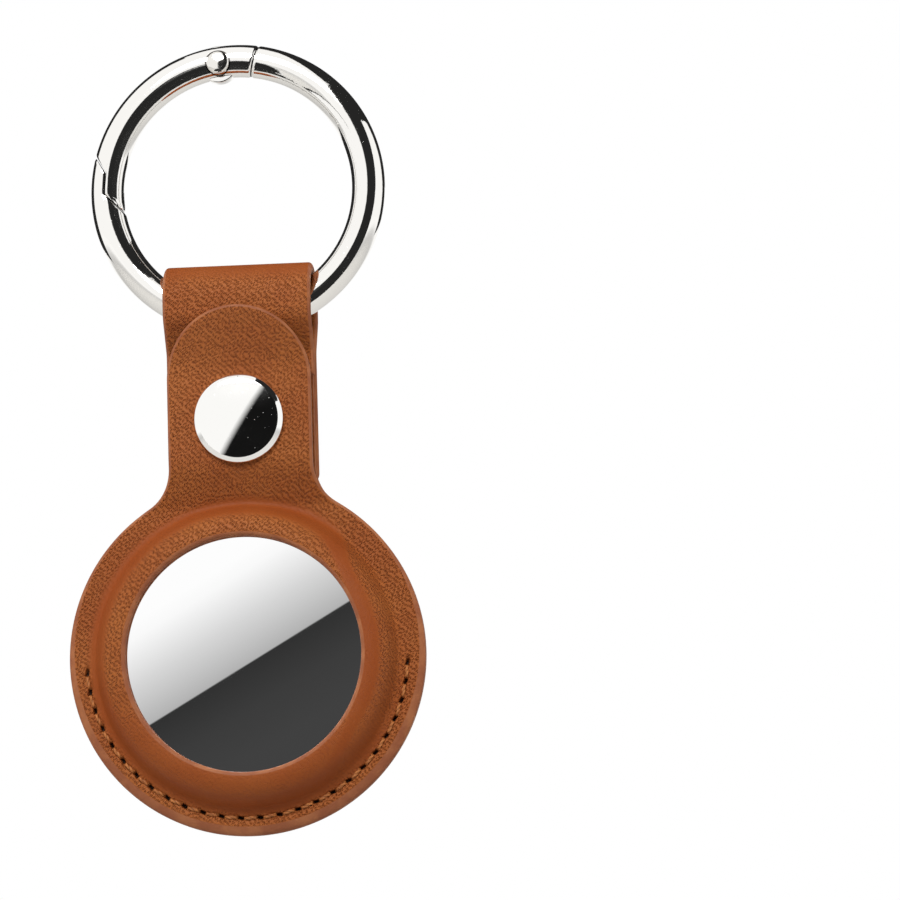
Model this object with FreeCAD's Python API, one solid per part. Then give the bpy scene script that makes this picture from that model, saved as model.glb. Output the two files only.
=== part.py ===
import FreeCAD
import Part
import math
import os

# Leather tag holder hanging from a spring-gate ring.
# Lengths are in mm. The origin is the centre of the ring's eye, +Z is up, the front faces -Y.

# Leather
leather = 1.2                     # thickness of every leather piece
edge_round = 0.35                 # rounding of the painted edges of the panels
running_gap = 0.05                # clearance all round of a piece that turns or slides in another
seat_gap = 0.02                   # clearance all round of a stem in its hole

# Ring
ring_outer_diameter = 36.0
wire_diameter = 4.0

# Gate: the pin stands left of the top, the latch is at the left
pin_angle = 97.0                  # degrees, counted from +X towards +Z
pin_inset = 0.3                   # pin centre, inwards of the middle of the wire
pin_diameter = 1.6
pin_head_diameter = 2.8
pin_head_height = 0.75
pin_dimple_diameter = 1.2
pin_dimple_depth = 0.35
pin_seat_inset = 0.3              # depth of the flat under the head, below the wire's surface
tang_thickness = 1.5
tang_radius = 2.3                 # rounded end of the tang, about the pin
tang_flat_inset = 0.4             # flat on the tang that the spring pushes on
slot_end_gap = 0.15               # between the end of the tang and the end of the slot
slit_reach = 4.5                  # from the pin to the slit between gate and body, square to the pin's radius
slit_lean = 22.5                  # degrees from the pin's radius, outer end of the slit away from the pin
gate_gap = 0.12                   # width of the slit and of the latch line
latch_angle = 175.9               # degrees, middle of the latch
latch_length = 2.65               # middle part of the Z
latch_offset = 0.15               # middle part of the Z, outwards of the middle of the wire
latch_upper_slope = 35.0          # degrees from the wire's run, upper part of the Z
latch_lower_slope = 53.0          # degrees from the wire's run, lower part of the Z
spring_bore_diameter = 1.3
spring_bore_inset = 0.4           # bore axis, inwards of the pin
spring_bore_tilt = 15.0           # degrees, bore axis turned inwards from the run of the wire at the pin
spring_length = 5.6
spring_wire_diameter = 0.2
spring_turns = 7.0

# Strap
strap_width = 18.0
loop_hang_gap = 0.15              # between the wire's top at the strap's edges and the loop
loop_side_play = 1.5              # room on each side of the wire, in which the ring swings
loop_waist_drop = 1.6             # start of the taper, below the swing axis
loop_pinch_rise = 1.1             # where the legs meet the tab, above the strap seam
loop_waist_round = 1.6            # inside radius of the bend at the start of the taper
loop_pinch_crease = 0.9           # visible radius of the bend at the pinch
seam_drop = 6.85                  # strap seam, below the swing axis
front_leg_tail = 2.2              # end of the front leg, below the strap seam
strap_end_margin = 2.1            # end of the back leg, below the cap
strap_corner_round = 1.2

# Panels
disc_diameter = 43.0
pouch_edge = 5.5                  # width of the disc outside the tag
strap_end_overlap = 0.55          # end of the back leg, below the top of the disc's circle
window_lip = 1.5                  # edge of the window, inside the tag's edge
neck_width = 17.4
flare_radius = 5.5                # hollow corner between the neck and the disc
flap_tip_drop = 0.8               # top of the flap, below the swing axis
flap_root_rise = 1.1              # start of the bend at the root of the flap, above the neck line
flap_root_round = 3.0
flap_shoulder_round = 2.0
flap_knee_round = 9.0
flap_socket_margin = 0.7          # flat part of the flap, below the socket
flap_cap_margin = 1.4             # flat part of the flap, above the cap
flap_loop_gap = 0.15              # between the flap and the loop
pocket_shoulder_inset = 0.1       # corner of the moulded wall at the face, inside the tag's edge
pocket_foot_outset = 1.5          # corner of the moulded wall at the seam, outside the tag's edge
pocket_shoulder_round = 2.0
pocket_crease = 1.0               # visible radius at the foot of the moulded wall
neck_line_gap = 0.3               # neck line, above the foot of the moulded wall
flange_join_inset = 1.2           # where the moulded wall passes into the flat edge, inside the disc's edge

# Thread
stitch_crease_gap = 0.02          # between the stitches and the foot of the moulded wall
stitch_pitch = 2.3                # least distance of the stitches round the pouch
stitch_start = 4.0                # degrees, ends of the stitch line below the middle of the disc
stitch_length = 1.75
stitch_width = 0.7
stitch_height = 0.3
strap_stitch_pitch = 2.15         # least distance of the stitches across the strap
strap_stitch_margin = 1.3         # ends of the strap seam, inside the strap's edges

# Snap
snap_seam_gap = 1.85              # between the strap seam and the caps
cap_diameter = 10.8
cap_metal = 0.4
cap_edge_height = 1.1
cap_crown = 0.45
cap_edge_round = 0.45
cap_lip = 1.3
post_disc_thickness = 0.28
post_diameter = 2.4
post_bore_diameter = 1.4
post_flare = 0.45                 # how far the peened end stands out of the stem
post_flare_height = 0.2
stud_flange_diameter = 8.8
stud_flange_thickness = 0.3
stud_neck_diameter = 3.5
stud_neck_height = 0.6
stud_bulb_diameter = 4.1
stud_bulb_height = 0.75
stud_bulb_round = 0.25
socket_diameter = 9.2
socket_cavity_diameter = 4.8
socket_groove_diameter = 6.0
socket_mouth_gap = 0.1            # between the socket and the flange of the stud
socket_lip = 0.15
socket_groove_height = 0.35
socket_head_room = 0.1            # between the stud and the peened end in the socket
socket_base = 0.3
socket_edge_round = 0.3
catch_inner_diameter = 3.65
catch_outer_diameter = 5.2
catch_slit = 0.7

# Tag
tag_thickness = 8.0
tag_pocket_gap = 0.12             # between the tag's faces and the leather
tag_edge_round = 2.5
cover_rim = 1.0                   # edge of the cover, inside the tag's edge
cover_metal = 0.5
cover_seam_gap = 0.12
cover_skirt_inset = 1.7           # outside of the skirt, inside the cover's edge
cover_skirt_thickness = 0.5
cover_skirt_depth = 1.5
lug_reach = 0.6
lug_height = 0.6
lug_count = 3
lug_width = 24.0                  # degrees
lug_slot_width = 32.0             # degrees
lug_turn = 42.0                   # degrees from the locked place to the slots
lug_gap = 0.12
shell_floor = 1.0
cell_skirt_gap = 3.3              # between the cell and the outside of the skirt
cell_thickness = 3.2
cell_edge_round = 0.3
cell_cover_gap = 0.05
contact_height = 0.7
contact_width = 1.6
contact_length = 5.0
contact_radius = 6.0
contact_metal = 0.2
contact_foot_length = 1.7
contact_count = 3
board_skirt_gap = 0.8             # edge of the board, inside the outside of the skirt
board_thickness = 0.8
sounder_diameter = 11.0
sounder_fit = 0.05

# Construction
overrun = 5.0                     # how far cutting shapes run past what they cut
weld_share = 1e-4                 # points nearer than this share of the leather count as one


ring_radius = (ring_outer_diameter - wire_diameter) / 2
wire_radius = wire_diameter / 2
eye_radius = ring_radius - wire_radius
rim_radius = ring_radius + wire_radius
strap_half = strap_width / 2
tab_half = leather / 2

# The swing axis runs midway between the top of the wire at the strap's edges and its lowest point.
wire_top_z = -math.sqrt(eye_radius**2 - strap_half**2)
swing_z = (wire_top_z - rim_radius) / 2
loop_half = wire_radius + loop_side_play
loop_top_z = wire_top_z + loop_hang_gap
waist_z = swing_z - loop_waist_drop
seam_z = swing_z - seam_drop
pinch_z = seam_z + loop_pinch_rise
tip_z = swing_z - flap_tip_drop

# The snap hangs below the strap seam, the strap ends below the snap, and the disc follows the strap's end.
cap_radius = cap_diameter / 2
snap_z = seam_z - stitch_width / 2 - snap_seam_gap - cap_radius
strap_end_z = snap_z - cap_radius - strap_end_margin
disc_radius = disc_diameter / 2
disc_z = strap_end_z + strap_end_overlap - disc_radius

# The panels meet on the seam plane; the neck tab is centred on the plane of the ring.
seam_y = -tab_half
join_radius = disc_radius - flange_join_inset
neck_half = neck_width / 2
tag_radius = disc_radius - pouch_edge
tag_half = tag_thickness / 2
window_radius = tag_radius - window_lip
pocket_height = tag_half + tag_pocket_gap
pocket_shoulder = tag_radius - pocket_shoulder_inset
pocket_foot = tag_radius + pocket_foot_outset
wall_lean = math.atan2(pocket_height, pocket_foot - pocket_shoulder)
crease_end = pocket_foot + (leather + pocket_crease) * math.tan(wall_lean / 2)
neck_line_z = disc_z + crease_end + neck_line_gap
stitch_radius = crease_end + stitch_crease_gap + stitch_width / 2

# Snap heights are counted from the front of the neck tab.
catch_top = stud_flange_thickness + socket_mouth_gap + socket_lip
stud_top = stud_flange_thickness + stud_neck_height + stud_bulb_height
socket_floor = stud_top + socket_head_room + post_flare_height
snap_stack = socket_floor + socket_base
flap_y = seam_y - snap_stack
strap_back_y = tab_half + leather


def vec(x, y, z):
    return FreeCAD.Vector(x, y, z)


def unit(point_a, point_b):
    dx = point_b[0] - point_a[0]
    dy = point_b[1] - point_a[1]
    size = math.hypot(dx, dy)
    return (dx / size, dy / size)


def parallel(points, distance):
    """Same path moved to its left by the distance; the corners stay on the bisectors."""
    runs = [unit(a, b) for a, b in zip(points, points[1:])]
    normals = [(-run[1], run[0]) for run in runs]
    moved = [(points[0][0] + distance * normals[0][0], points[0][1] + distance * normals[0][1])]
    for i in range(1, len(points) - 1):
        a = normals[i - 1]
        b = normals[i]
        reach = distance / (1 + a[0] * b[0] + a[1] * b[1])
        moved.append((points[i][0] + reach * (a[0] + b[0]), points[i][1] + reach * (a[1] + b[1])))
    last = normals[-1]
    moved.append((points[-1][0] + distance * last[0], points[-1][1] + distance * last[1]))
    return moved


def turn_at(points, i):
    """Turn of the path at a corner in radians, positive to the left."""
    a = unit(points[i - 1], points[i])
    b = unit(points[i], points[i + 1])
    return math.atan2(a[0] * b[1] - a[1] * b[0], a[0] * b[0] + a[1] * b[1])


def rounded_path(points, rounds, place):
    """Edges along a path whose inner corners are rounded with the given radii."""
    edges = []
    here = points[0]
    for i, radius in enumerate(rounds, start=1):
        corner = points[i]
        turn = turn_at(points, i)
        run_in = unit(points[i - 1], corner)
        run_out = unit(corner, points[i + 1])
        cut = radius * math.tan(abs(turn) / 2)
        start = (corner[0] - cut * run_in[0], corner[1] - cut * run_in[1])
        end = (corner[0] + cut * run_out[0], corner[1] + cut * run_out[1])
        side = math.copysign(1, turn)
        centre = (start[0] - side * radius * run_in[1], start[1] + side * radius * run_in[0])
        out = unit(centre, corner)
        middle = (centre[0] + radius * out[0], centre[1] + radius * out[1])
        add_line(edges, here, start, place)
        edges.append(Part.Arc(place(start), place(middle), place(end)).toShape())
        here = end
    add_line(edges, here, points[-1], place)
    return edges


def add_line(edges, start, end, place):
    """Adds a straight edge, unless two rounded corners already meet there."""
    a = place(start)
    b = place(end)
    if a.distanceToPoint(b) > leather * weld_share:
        edges.append(Part.makeLine(a, b))


def strip_face(points, rounds, thickness, place):
    """Cross-section of a bent sheet: the path, the path beside it to the left, and the two ends."""
    beside = parallel(points, thickness)
    turns = [turn_at(points, i) for i in range(1, len(points) - 1)]
    beside_rounds = [r - math.copysign(thickness, t) for r, t in zip(rounds, turns)]
    edges = rounded_path(points, rounds, place) + rounded_path(beside, beside_rounds, place)
    edges.append(Part.makeLine(place(points[0]), place(beside[0])))
    edges.append(Part.makeLine(place(points[-1]), place(beside[-1])))
    return Part.Face(Part.Wire(Part.__sortEdges__(edges)))


def polygon(points, place):
    corners = [place(p) for p in points]
    return Part.Face(Part.makePolygon(corners + corners[:1]))


def side_place(point):
    """(depth, height) in the middle plane."""
    return vec(0, point[0], point[1])


def front_place(point):
    """(across, height) in the plane of the ring."""
    return vec(point[0], 0, point[1])


def turned(face, centre_z):
    """Solid of revolution about the line through the given height that runs front to back."""
    return face.revolve(vec(0, 0, centre_z), vec(0, 1, 0), 360)


def rod(diameter, centre_x, centre_z, y_from, y_to):
    return Part.makeCylinder(diameter / 2, y_to - y_from, vec(centre_x, y_from, centre_z), vec(0, 1, 0))


def block(x_from, x_to, y_from, y_to, z_from, z_to):
    corner = vec(x_from, y_from, z_from)
    return Part.makeBox(x_to - x_from, y_to - y_from, z_to - z_from, corner)


def prism(face, y_from, y_to):
    """Face in the plane of the ring, drawn out between two depths."""
    moved = face.copy()
    moved.translate(vec(0, y_from, 0))
    return moved.extrude(vec(0, y_to - y_from, 0))


def polar(radius, angle):
    return (radius * math.cos(math.radians(angle)), radius * math.sin(math.radians(angle)))


def heading(angle):
    return polar(1, angle)


def along(point, run, distance):
    return (point[0] + run[0] * distance, point[1] + run[1] * distance)


# Ring, gate and latch

pin = polar(ring_radius - pin_inset, pin_angle)
pin_seat_y = wire_radius - pin_seat_inset
bore_run = heading(pin_angle + 90 + spring_bore_tilt)
bore_start = along(pin, heading(pin_angle), -spring_bore_inset)
tang_flat = tang_radius - tang_flat_inset


def latch_path():
    """Z of the latch, from outside the ring at the top to inside the ring below."""
    down = heading(latch_angle + 90)
    middle = polar(ring_radius + latch_offset, latch_angle)
    upper = along(middle, down, -latch_length / 2)
    lower = along(middle, down, latch_length / 2)
    rising = heading(latch_angle - 90 + latch_upper_slope)
    falling = heading(latch_angle + 90 + latch_lower_slope)
    return [along(upper, rising, overrun), upper, lower, along(lower, falling, overrun)]


def gate_region(widening):
    """Outline in the ring's plane that holds the gate; the widening opens the slit and the latch."""
    latch = parallel(latch_path(), -widening)
    away = rim_radius + overrun
    rise = heading(pin_angle - slit_lean)
    reach = slit_reach + widening / math.cos(math.radians(slit_lean))
    middle = along(pin, heading(pin_angle - 90), reach)
    top = along(middle, rise, wire_diameter)
    bottom = along(middle, rise, -wire_diameter)
    corners = [top, (top[0], away), (-away, away), (-away, latch[0][1])] + latch + [bottom]
    return polygon(corners, front_place)


def torus():
    return Part.makeTorus(ring_radius, wire_radius, vec(0, 0, 0), vec(0, 1, 0))


def tang_outline():
    """Rounded end of the tang about the pin, with the flat for the spring."""
    disc = rod(tang_radius * 2, pin[0], pin[1], -tang_thickness / 2, tang_thickness / 2)
    foot = along(pin, bore_run, tang_flat)
    flat = Part.makeBox(overrun, overrun * 2, overrun * 2, vec(0, -overrun, -overrun))
    flat.rotate(vec(0, 0, 0), vec(0, -1, 0), pin_angle + 90 + spring_bore_tilt)
    flat.translate(front_place(foot))
    return disc.cut(flat)


def ring_body():
    cut_torus = torus().cut(prism(gate_region(gate_gap), -overrun, overrun))
    slab = rod((slit_reach + wire_radius) * 2, pin[0], pin[1], -tang_thickness / 2, tang_thickness / 2)
    run = heading(pin_angle - 90)
    side = along(pin, run, overrun * 2)
    across = heading(pin_angle)
    corners = [along(pin, across, -overrun), along(pin, across, overrun)]
    corners += [along(side, across, overrun), along(side, across, -overrun)]
    right_of_pin = prism(polygon(corners, front_place), -overrun, overrun)
    neck = torus().common(slab).common(right_of_pin)
    body = cut_torus.fuse([neck, tang_outline()]).removeSplitter()
    return body.cut(rod(pin_diameter + running_gap * 2, pin[0], pin[1], -overrun, overrun))


def spring_bore():
    depth = tang_flat + spring_length
    start = front_place(bore_start)
    return Part.makeCylinder(spring_bore_diameter / 2, depth, start, front_place(bore_run))


def ring_gate():
    gate = torus().common(prism(gate_region(0), -overrun, overrun))
    slot_half = tang_thickness / 2 + running_gap
    slot_end = rod((tang_radius + slot_end_gap) * 2, pin[0], pin[1], -slot_half, slot_half)
    across = heading(pin_angle)
    mouth = along(pin, heading(pin_angle - 90), slit_reach + overrun)
    tall = tang_radius + slot_end_gap
    corners = [along(pin, across, -tall), along(pin, across, tall)]
    corners += [along(mouth, across, overrun), along(mouth, across, -overrun)]
    slot = prism(polygon(corners, front_place), -slot_half, slot_half)
    gate = gate.cut(slot_end).cut(slot).cut(spring_bore())
    seat = pin_head_diameter + running_gap * 2
    gate = gate.cut(rod(seat, pin[0], pin[1], pin_seat_y, pin_seat_y + overrun))
    gate = gate.cut(rod(seat, pin[0], pin[1], -pin_seat_y - overrun, -pin_seat_y))
    return gate.cut(rod(pin_diameter + seat_gap * 2, pin[0], pin[1], -overrun, overrun))


def hinge_pin():
    """Rivet with a domed head in front and a dimpled end behind."""
    shank = rod(pin_diameter, pin[0], pin[1], -pin_seat_y, pin_seat_y)
    head_radius = pin_head_diameter / 2
    dome_radius = (head_radius**2 + pin_head_height**2) / (2 * pin_head_height)
    dome = Part.makeSphere(dome_radius, vec(pin[0], -pin_seat_y + dome_radius - pin_head_height, pin[1]))
    head = dome.common(rod(pin_head_diameter, pin[0], pin[1], -pin_seat_y - pin_head_height, -pin_seat_y))
    end = dome.mirror(vec(0, 0, 0), vec(0, 1, 0))
    end = end.common(rod(pin_head_diameter, pin[0], pin[1], pin_seat_y, pin_seat_y + pin_head_height))
    dimple_y = pin_seat_y + pin_head_height - pin_dimple_depth
    end = end.cut(rod(pin_dimple_diameter, pin[0], pin[1], dimple_y, dimple_y + overrun))
    return shank.fuse([head, end])


def gate_spring():
    """Small coil between the flat of the tang and the end of its bore."""
    coil_radius = spring_bore_diameter / 2 - running_gap - spring_wire_diameter / 2
    rise = spring_length - spring_wire_diameter - running_gap
    helix = Part.makeHelix(rise / spring_turns, rise, coil_radius)
    helix.translate(vec(0, 0, spring_wire_diameter / 2))
    run = vec(0, coil_radius, rise / spring_turns / (2 * math.pi))
    start = vec(coil_radius, 0, spring_wire_diameter / 2)
    section = Part.Wire(Part.makeCircle(spring_wire_diameter / 2, start, run))
    coil = Part.Wire(helix).makePipeShell([section], True, True)
    turn = FreeCAD.Rotation(vec(0, 0, 1), front_place(bore_run))
    foot = along(bore_start, bore_run, tang_flat)
    coil.Placement = FreeCAD.Placement(front_place(foot), turn)
    return coil


# Leather

def outline(top_z, round_tip):
    """Disc with a neck; hollow corners between them; the neck ends round or square."""
    centre_x = neck_half + flare_radius
    rise = math.sqrt((disc_radius + flare_radius)**2 - centre_x**2)
    flare_z = disc_z + rise
    touch_share = disc_radius / (disc_radius + flare_radius)
    touch = (centre_x * touch_share, disc_z + rise * touch_share)
    bisector = unit((centre_x, flare_z), (neck_half + touch[0] - centre_x, touch[1]))
    middle = along((centre_x, flare_z), bisector, flare_radius)
    edges = []
    for side in (-1, 1):
        ends = [(side * neck_half, flare_z), (side * middle[0], middle[1]), (side * touch[0], touch[1])]
        edges.append(Part.Arc(*[front_place(p) for p in ends]).toShape())
    bowl = [(-touch[0], touch[1]), (0, disc_z - disc_radius), touch]
    edges.append(Part.Arc(*[front_place(p) for p in bowl]).toShape())
    side_top = top_z - neck_half if round_tip else top_z
    for side in (-neck_half, neck_half):
        edges.append(Part.makeLine(front_place((side, flare_z)), front_place((side, side_top))))
    if round_tip:
        tip = [(-neck_half, side_top), (0, top_z), (neck_half, side_top)]
        edges.append(Part.Arc(*[front_place(p) for p in tip]).toShape())
    else:
        edges.append(Part.makeLine(front_place((-neck_half, top_z)), front_place((neck_half, top_z))))
    return Part.Face(Part.Wire(Part.__sortEdges__(edges)))


def moulded_wall(inner_radius, side):
    """Face and wall of the pocket: flat over the tag, then an S bend down to the seam plane."""
    def place(point):
        return vec(point[0], seam_y + side * point[1], disc_z)
    path = [(inner_radius, pocket_height), (pocket_shoulder, pocket_height)]
    path += [(pocket_foot, 0), (join_radius, 0)]
    rounds = [pocket_shoulder_round, leather + pocket_crease]
    return turned(strip_face(path, rounds, leather, place), disc_z)


def flat_edge(face, y_from, y_to):
    """Flat part of a panel round the moulded wall."""
    return prism(face, y_from, y_to).cut(rod(join_radius * 2, 0, disc_z, -overrun, overrun))


def flap_path():
    """Back of the flap: up from the seam plane, out over the snap, then over the loop and past the tip."""
    flat_from = snap_z - socket_diameter / 2 - flap_socket_margin
    flat_to = snap_z + cap_radius + flap_cap_margin
    clear_y = -(loop_half + leather + flap_loop_gap)
    lean = (clear_y - flap_y) / (waist_z - flat_to)
    past_z = tip_z + leather
    past_y = clear_y + lean * (past_z - waist_z)
    path = [(seam_y, neck_line_z), (seam_y, neck_line_z + flap_root_rise), (flap_y, flat_from)]
    return path + [(flap_y, flat_to), (past_y, past_z)]


def front_panel():
    face = outline(tip_z, True)
    disc = moulded_wall(window_radius, -1).fuse(flat_edge(face, seam_y - leather, seam_y))
    wide = disc_radius + overrun
    above = block(-wide, wide, -wide, wide, neck_line_z, wide)
    disc = rounded_rim(disc.cut(above), seam_y - leather)
    path = flap_path()
    rounds = [flap_root_round, flap_shoulder_round, flap_knee_round]
    strip = strip_face(path, rounds, leather, side_place)
    strip.translate(vec(-wide, 0, 0))
    flap = strip.extrude(vec(wide * 2, 0, 0)).common(prism(face, -wide, wide))
    return disc.fuse(flap).removeSplitter()


def rounded_rim(panel, y_face):
    """Rounds the edge of a panel where its outline meets the given flat face."""
    rim = []
    for edge in panel.Edges:
        box = edge.BoundBox
        flat = abs(box.YMin - y_face) + abs(box.YMax - y_face) < leather * weld_share
        middle = edge.valueAt((edge.FirstParameter + edge.LastParameter) / 2)
        beyond = math.hypot(middle.x, middle.z - disc_z) > join_radius
        if flat and beyond and middle.z < neck_line_z:
            rim.append(edge)
    return panel.makeFillet(edge_round, rim)


def front_halves():
    """The front panel, parted where the leather folds; the flap half takes the post's hole."""
    panel = front_panel()
    wide = disc_radius + overrun
    lower_space = block(-wide, wide, -wide, wide, disc_z - wide, disc_z)
    flap = panel.cut(lower_space)
    flap = flap.cut(rod(post_diameter + seat_gap * 2, 0, snap_z, -wide, wide))
    return panel.common(lower_space), flap


def back_panel():
    face = outline(pinch_z, False)
    panel = moulded_wall(0, 1).fuse(flat_edge(face, seam_y, seam_y + leather)).removeSplitter()
    return panel.cut(rod(post_diameter + seat_gap * 2, 0, snap_z, -overrun, overrun))


def hanger_strap():
    """Strip that runs up the front of the tab, round the ring and down the back of the tab."""
    half = [(tab_half, pinch_z), (loop_half, waist_z), (loop_half, loop_top_z)]
    path = [(-tab_half, seam_z - front_leg_tail)] + [(-y, z) for y, z in half]
    path += half[::-1] + [(tab_half, strap_end_z)]
    bends = [leather + loop_pinch_crease, loop_waist_round, loop_half]
    strip = strip_face(path, bends + bends[::-1], leather, side_place)
    strip.translate(vec(-strap_half, 0, 0))
    strap = strip.extrude(vec(strap_width, 0, 0))
    corners = []
    for edge in strap.Edges:
        box = edge.BoundBox
        low = abs(box.ZMax - strap_end_z) < leather * weld_share
        if low and box.XLength < leather * weld_share:
            corners.append(edge)
    strap = strap.makeFillet(strap_corner_round, corners)
    return strap.cut(rod(post_diameter + seat_gap * 2, 0, snap_z, 0, overrun))


# Thread

def stitch(length):
    """One stitch lying along X on the plane of the ring, its back towards -Y."""
    half = length / 2
    top = [(-half, 0), (-half + stitch_height, -stitch_height)]
    top += [(half - stitch_height, -stitch_height), (half, 0)]
    corners = [vec(x, y, -stitch_width / 2) for x, y in top]
    bar = Part.Face(Part.makePolygon(corners + corners[:1])).extrude(vec(0, 0, stitch_width))
    return bar


def pouch_stitching():
    """Stitches on both faces of the seam, on an arc round the lower half of the disc."""
    span = 180 - stitch_start * 2
    count = int(math.radians(span) * stitch_radius / stitch_pitch)
    made = []
    for i in range(count):
        angle = 180 + stitch_start + span * (i + 1 / 2) / count
        spot = polar(stitch_radius, angle)
        for y, flip in ((seam_y - leather, 0), (seam_y + leather, 180)):
            bar = stitch(stitch_length)
            bar.rotate(vec(0, 0, 0), vec(1, 0, 0), flip)
            bar.rotate(vec(0, 0, 0), vec(0, -1, 0), angle + 90)
            bar.translate(vec(spot[0], y, disc_z + spot[1]))
            made.append(bar)
    return Part.makeCompound(made)


def strap_stitching():
    """Stitches across both legs of the strap, through the tab between them."""
    row = strap_width - strap_stitch_margin * 2
    count = int(row / strap_stitch_pitch)
    made = []
    for i in range(count):
        x = -row / 2 + row * (i + 1 / 2) / count
        for y, flip in ((-strap_back_y, 0), (strap_back_y, 180)):
            bar = stitch(stitch_length)
            bar.rotate(vec(0, 0, 0), vec(1, 0, 0), flip)
            bar.translate(vec(x, y, seam_z))
            made.append(bar)
    return Part.makeCompound(made)


# Snap: profiles are (radius, height), with the height counted from a leather face

def snap_place(y_face, side):
    def place(point):
        return vec(point[0], y_face + side * point[1], snap_z)
    return place


def dome(radius, edge_height, crown, floor, place):
    """Solid under a flat-crowned cap: straight wall and shallow crown."""
    crown_radius = (radius**2 + crown**2) / (2 * crown)
    middle_x = radius / 2
    middle_h = edge_height + crown - crown_radius + math.sqrt(crown_radius**2 - middle_x**2)
    top = (0, edge_height + crown)
    arc = Part.Arc(place((radius, edge_height)), place((middle_x, middle_h)), place(top))
    corners = [top, (0, floor), (radius, floor), (radius, edge_height)]
    lines = [Part.makeLine(place(a), place(b)) for a, b in zip(corners, corners[1:])]
    return turned(Part.Face(Part.Wire(Part.__sortEdges__([arc.toShape()] + lines))), snap_z)


def cap_shell(y_face, side):
    """Hollow domed cap, its lip turned in under the disc of the post."""
    place = snap_place(y_face, side)
    outer = dome(cap_radius, cap_edge_height, cap_crown, 0, place)
    rim_y = place((0, cap_edge_height)).y
    rim = []
    for edge in outer.Edges:
        level = abs(edge.valueAt(edge.FirstParameter).y - rim_y) < leather * weld_share
        if level and edge.BoundBox.XLength > cap_radius:
            rim.append(edge)
    outer = outer.makeFillet(cap_edge_round, rim)
    hollow = dome(cap_radius - cap_metal, cap_edge_height - cap_metal, cap_crown, cap_metal, place)
    lip = cap_radius - cap_lip
    mouth = turned(polygon([(0, 0), (lip, 0), (lip, cap_metal), (0, cap_metal)], place), snap_z)
    return outer.cut(hollow).cut(mouth)


def cap_post(y_face, side, stem):
    """Disc held by the cap's lip, with a hollow stem whose end is peened over."""
    place = snap_place(y_face, side)
    disc_edge = cap_radius - cap_metal - running_gap
    stem_radius = post_diameter / 2
    bore = post_bore_diameter / 2
    flare = stem_radius + post_flare
    low = cap_metal
    high = cap_metal + post_disc_thickness
    corners = [(0, high), (disc_edge, high), (disc_edge, low), (stem_radius, low)]
    corners += [(stem_radius, -stem), (flare, -stem), (flare, -stem - post_flare_height)]
    corners += [(bore, -stem - post_flare_height), (bore, low), (0, low)]
    return turned(polygon(corners, place), snap_z)


def snap_stud():
    """Flange on the tab, neck and bulb, with a hole for the post that is peened in a recess of the bulb."""
    place = snap_place(seam_y, -1)
    hole = post_diameter / 2 + seat_gap
    recess = hole + post_flare
    floor = stud_top - post_flare_height
    bulb = stud_bulb_diameter / 2
    neck = stud_neck_diameter / 2
    neck_top = stud_flange_thickness + stud_neck_height
    corners = [(hole, 0), (stud_flange_diameter / 2, 0), (stud_flange_diameter / 2, stud_flange_thickness)]
    corners += [(neck, stud_flange_thickness), (neck, neck_top), (bulb, neck_top + stud_bulb_round)]
    corners += [(bulb, stud_top - stud_bulb_round), (bulb - stud_bulb_round, stud_top), (recess, stud_top)]
    corners += [(recess, floor), (hole, floor)]
    return turned(polygon(corners, place), snap_z)


def snap_socket():
    """Round body on the back of the flap, with a cavity for the stud and a groove for the catch."""
    place = snap_place(seam_y, -1)
    radius = socket_diameter / 2
    cavity = socket_cavity_diameter / 2
    groove = socket_groove_diameter / 2
    hole = post_diameter / 2 + seat_gap
    mouth = stud_flange_thickness + socket_mouth_gap
    groove_top = catch_top + socket_groove_height
    corners = [(hole, snap_stack), (radius, snap_stack), (radius, mouth + socket_edge_round)]
    corners += [(radius - socket_edge_round, mouth), (cavity, mouth), (cavity, catch_top)]
    corners += [(groove, catch_top), (groove, groove_top), (cavity, groove_top)]
    corners += [(cavity, socket_floor), (hole, socket_floor)]
    return turned(polygon(corners, place), snap_z)


def socket_catch():
    """Flat split ring in the socket's groove, round the neck of the stud."""
    place = snap_place(seam_y, -1)
    low = catch_top + running_gap
    high = catch_top + socket_groove_height - running_gap
    inner = catch_inner_diameter / 2
    outer = catch_outer_diameter / 2
    ring = turned(polygon([(inner, low), (outer, low), (outer, high), (inner, high)], place), snap_z)
    return ring.cut(block(-catch_slit / 2, catch_slit / 2, -overrun, overrun, snap_z, snap_z + overrun))


# Tag: heights are counted from the seam plane towards the front

cover_inner = tag_half - cover_metal
cell_top = cover_inner - cell_cover_gap
cell_low = cell_top - cell_thickness
board_top = cell_low - contact_height
board_low = board_top - board_thickness
cover_radius = tag_radius - cover_rim
skirt_outer = cover_radius - cover_skirt_inset
skirt_low = cover_inner - cover_skirt_depth
lug_outer = skirt_outer + lug_reach
cell_radius = skirt_outer - cell_skirt_gap
board_radius = skirt_outer - board_skirt_gap
round_start = tag_radius - tag_edge_round
cover_edge = math.sqrt(tag_edge_round**2 - (cover_radius - round_start)**2) + tag_half - tag_edge_round
cover_low = cover_edge - cover_metal


def tag_place(point):
    return vec(point[0], seam_y - point[1], disc_z)


def tag_turned(corners):
    return turned(polygon(corners, tag_place), disc_z)


def puck(radius, half, edge_radius):
    """Disc about the tag's middle plane with rounded edges."""
    solid = rod(radius * 2, 0, disc_z, seam_y - half, seam_y + half)
    rim = [e for e in solid.Edges if e.BoundBox.YLength < leather * weld_share]
    return solid.makeFillet(edge_radius, rim)


def sector(radius, angle, width, y_from, y_to):
    """Wedge of a disc about the tag's axis."""
    wedge = Part.makeCylinder(radius, y_to - y_from, vec(0, 0, 0), vec(0, 0, 1), width)
    wedge.rotate(vec(0, 0, 0), vec(0, 0, 1), angle - width / 2)
    wedge.rotate(vec(0, 0, 0), vec(1, 0, 0), 90)
    wedge.translate(vec(0, y_to, disc_z))
    return wedge


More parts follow.
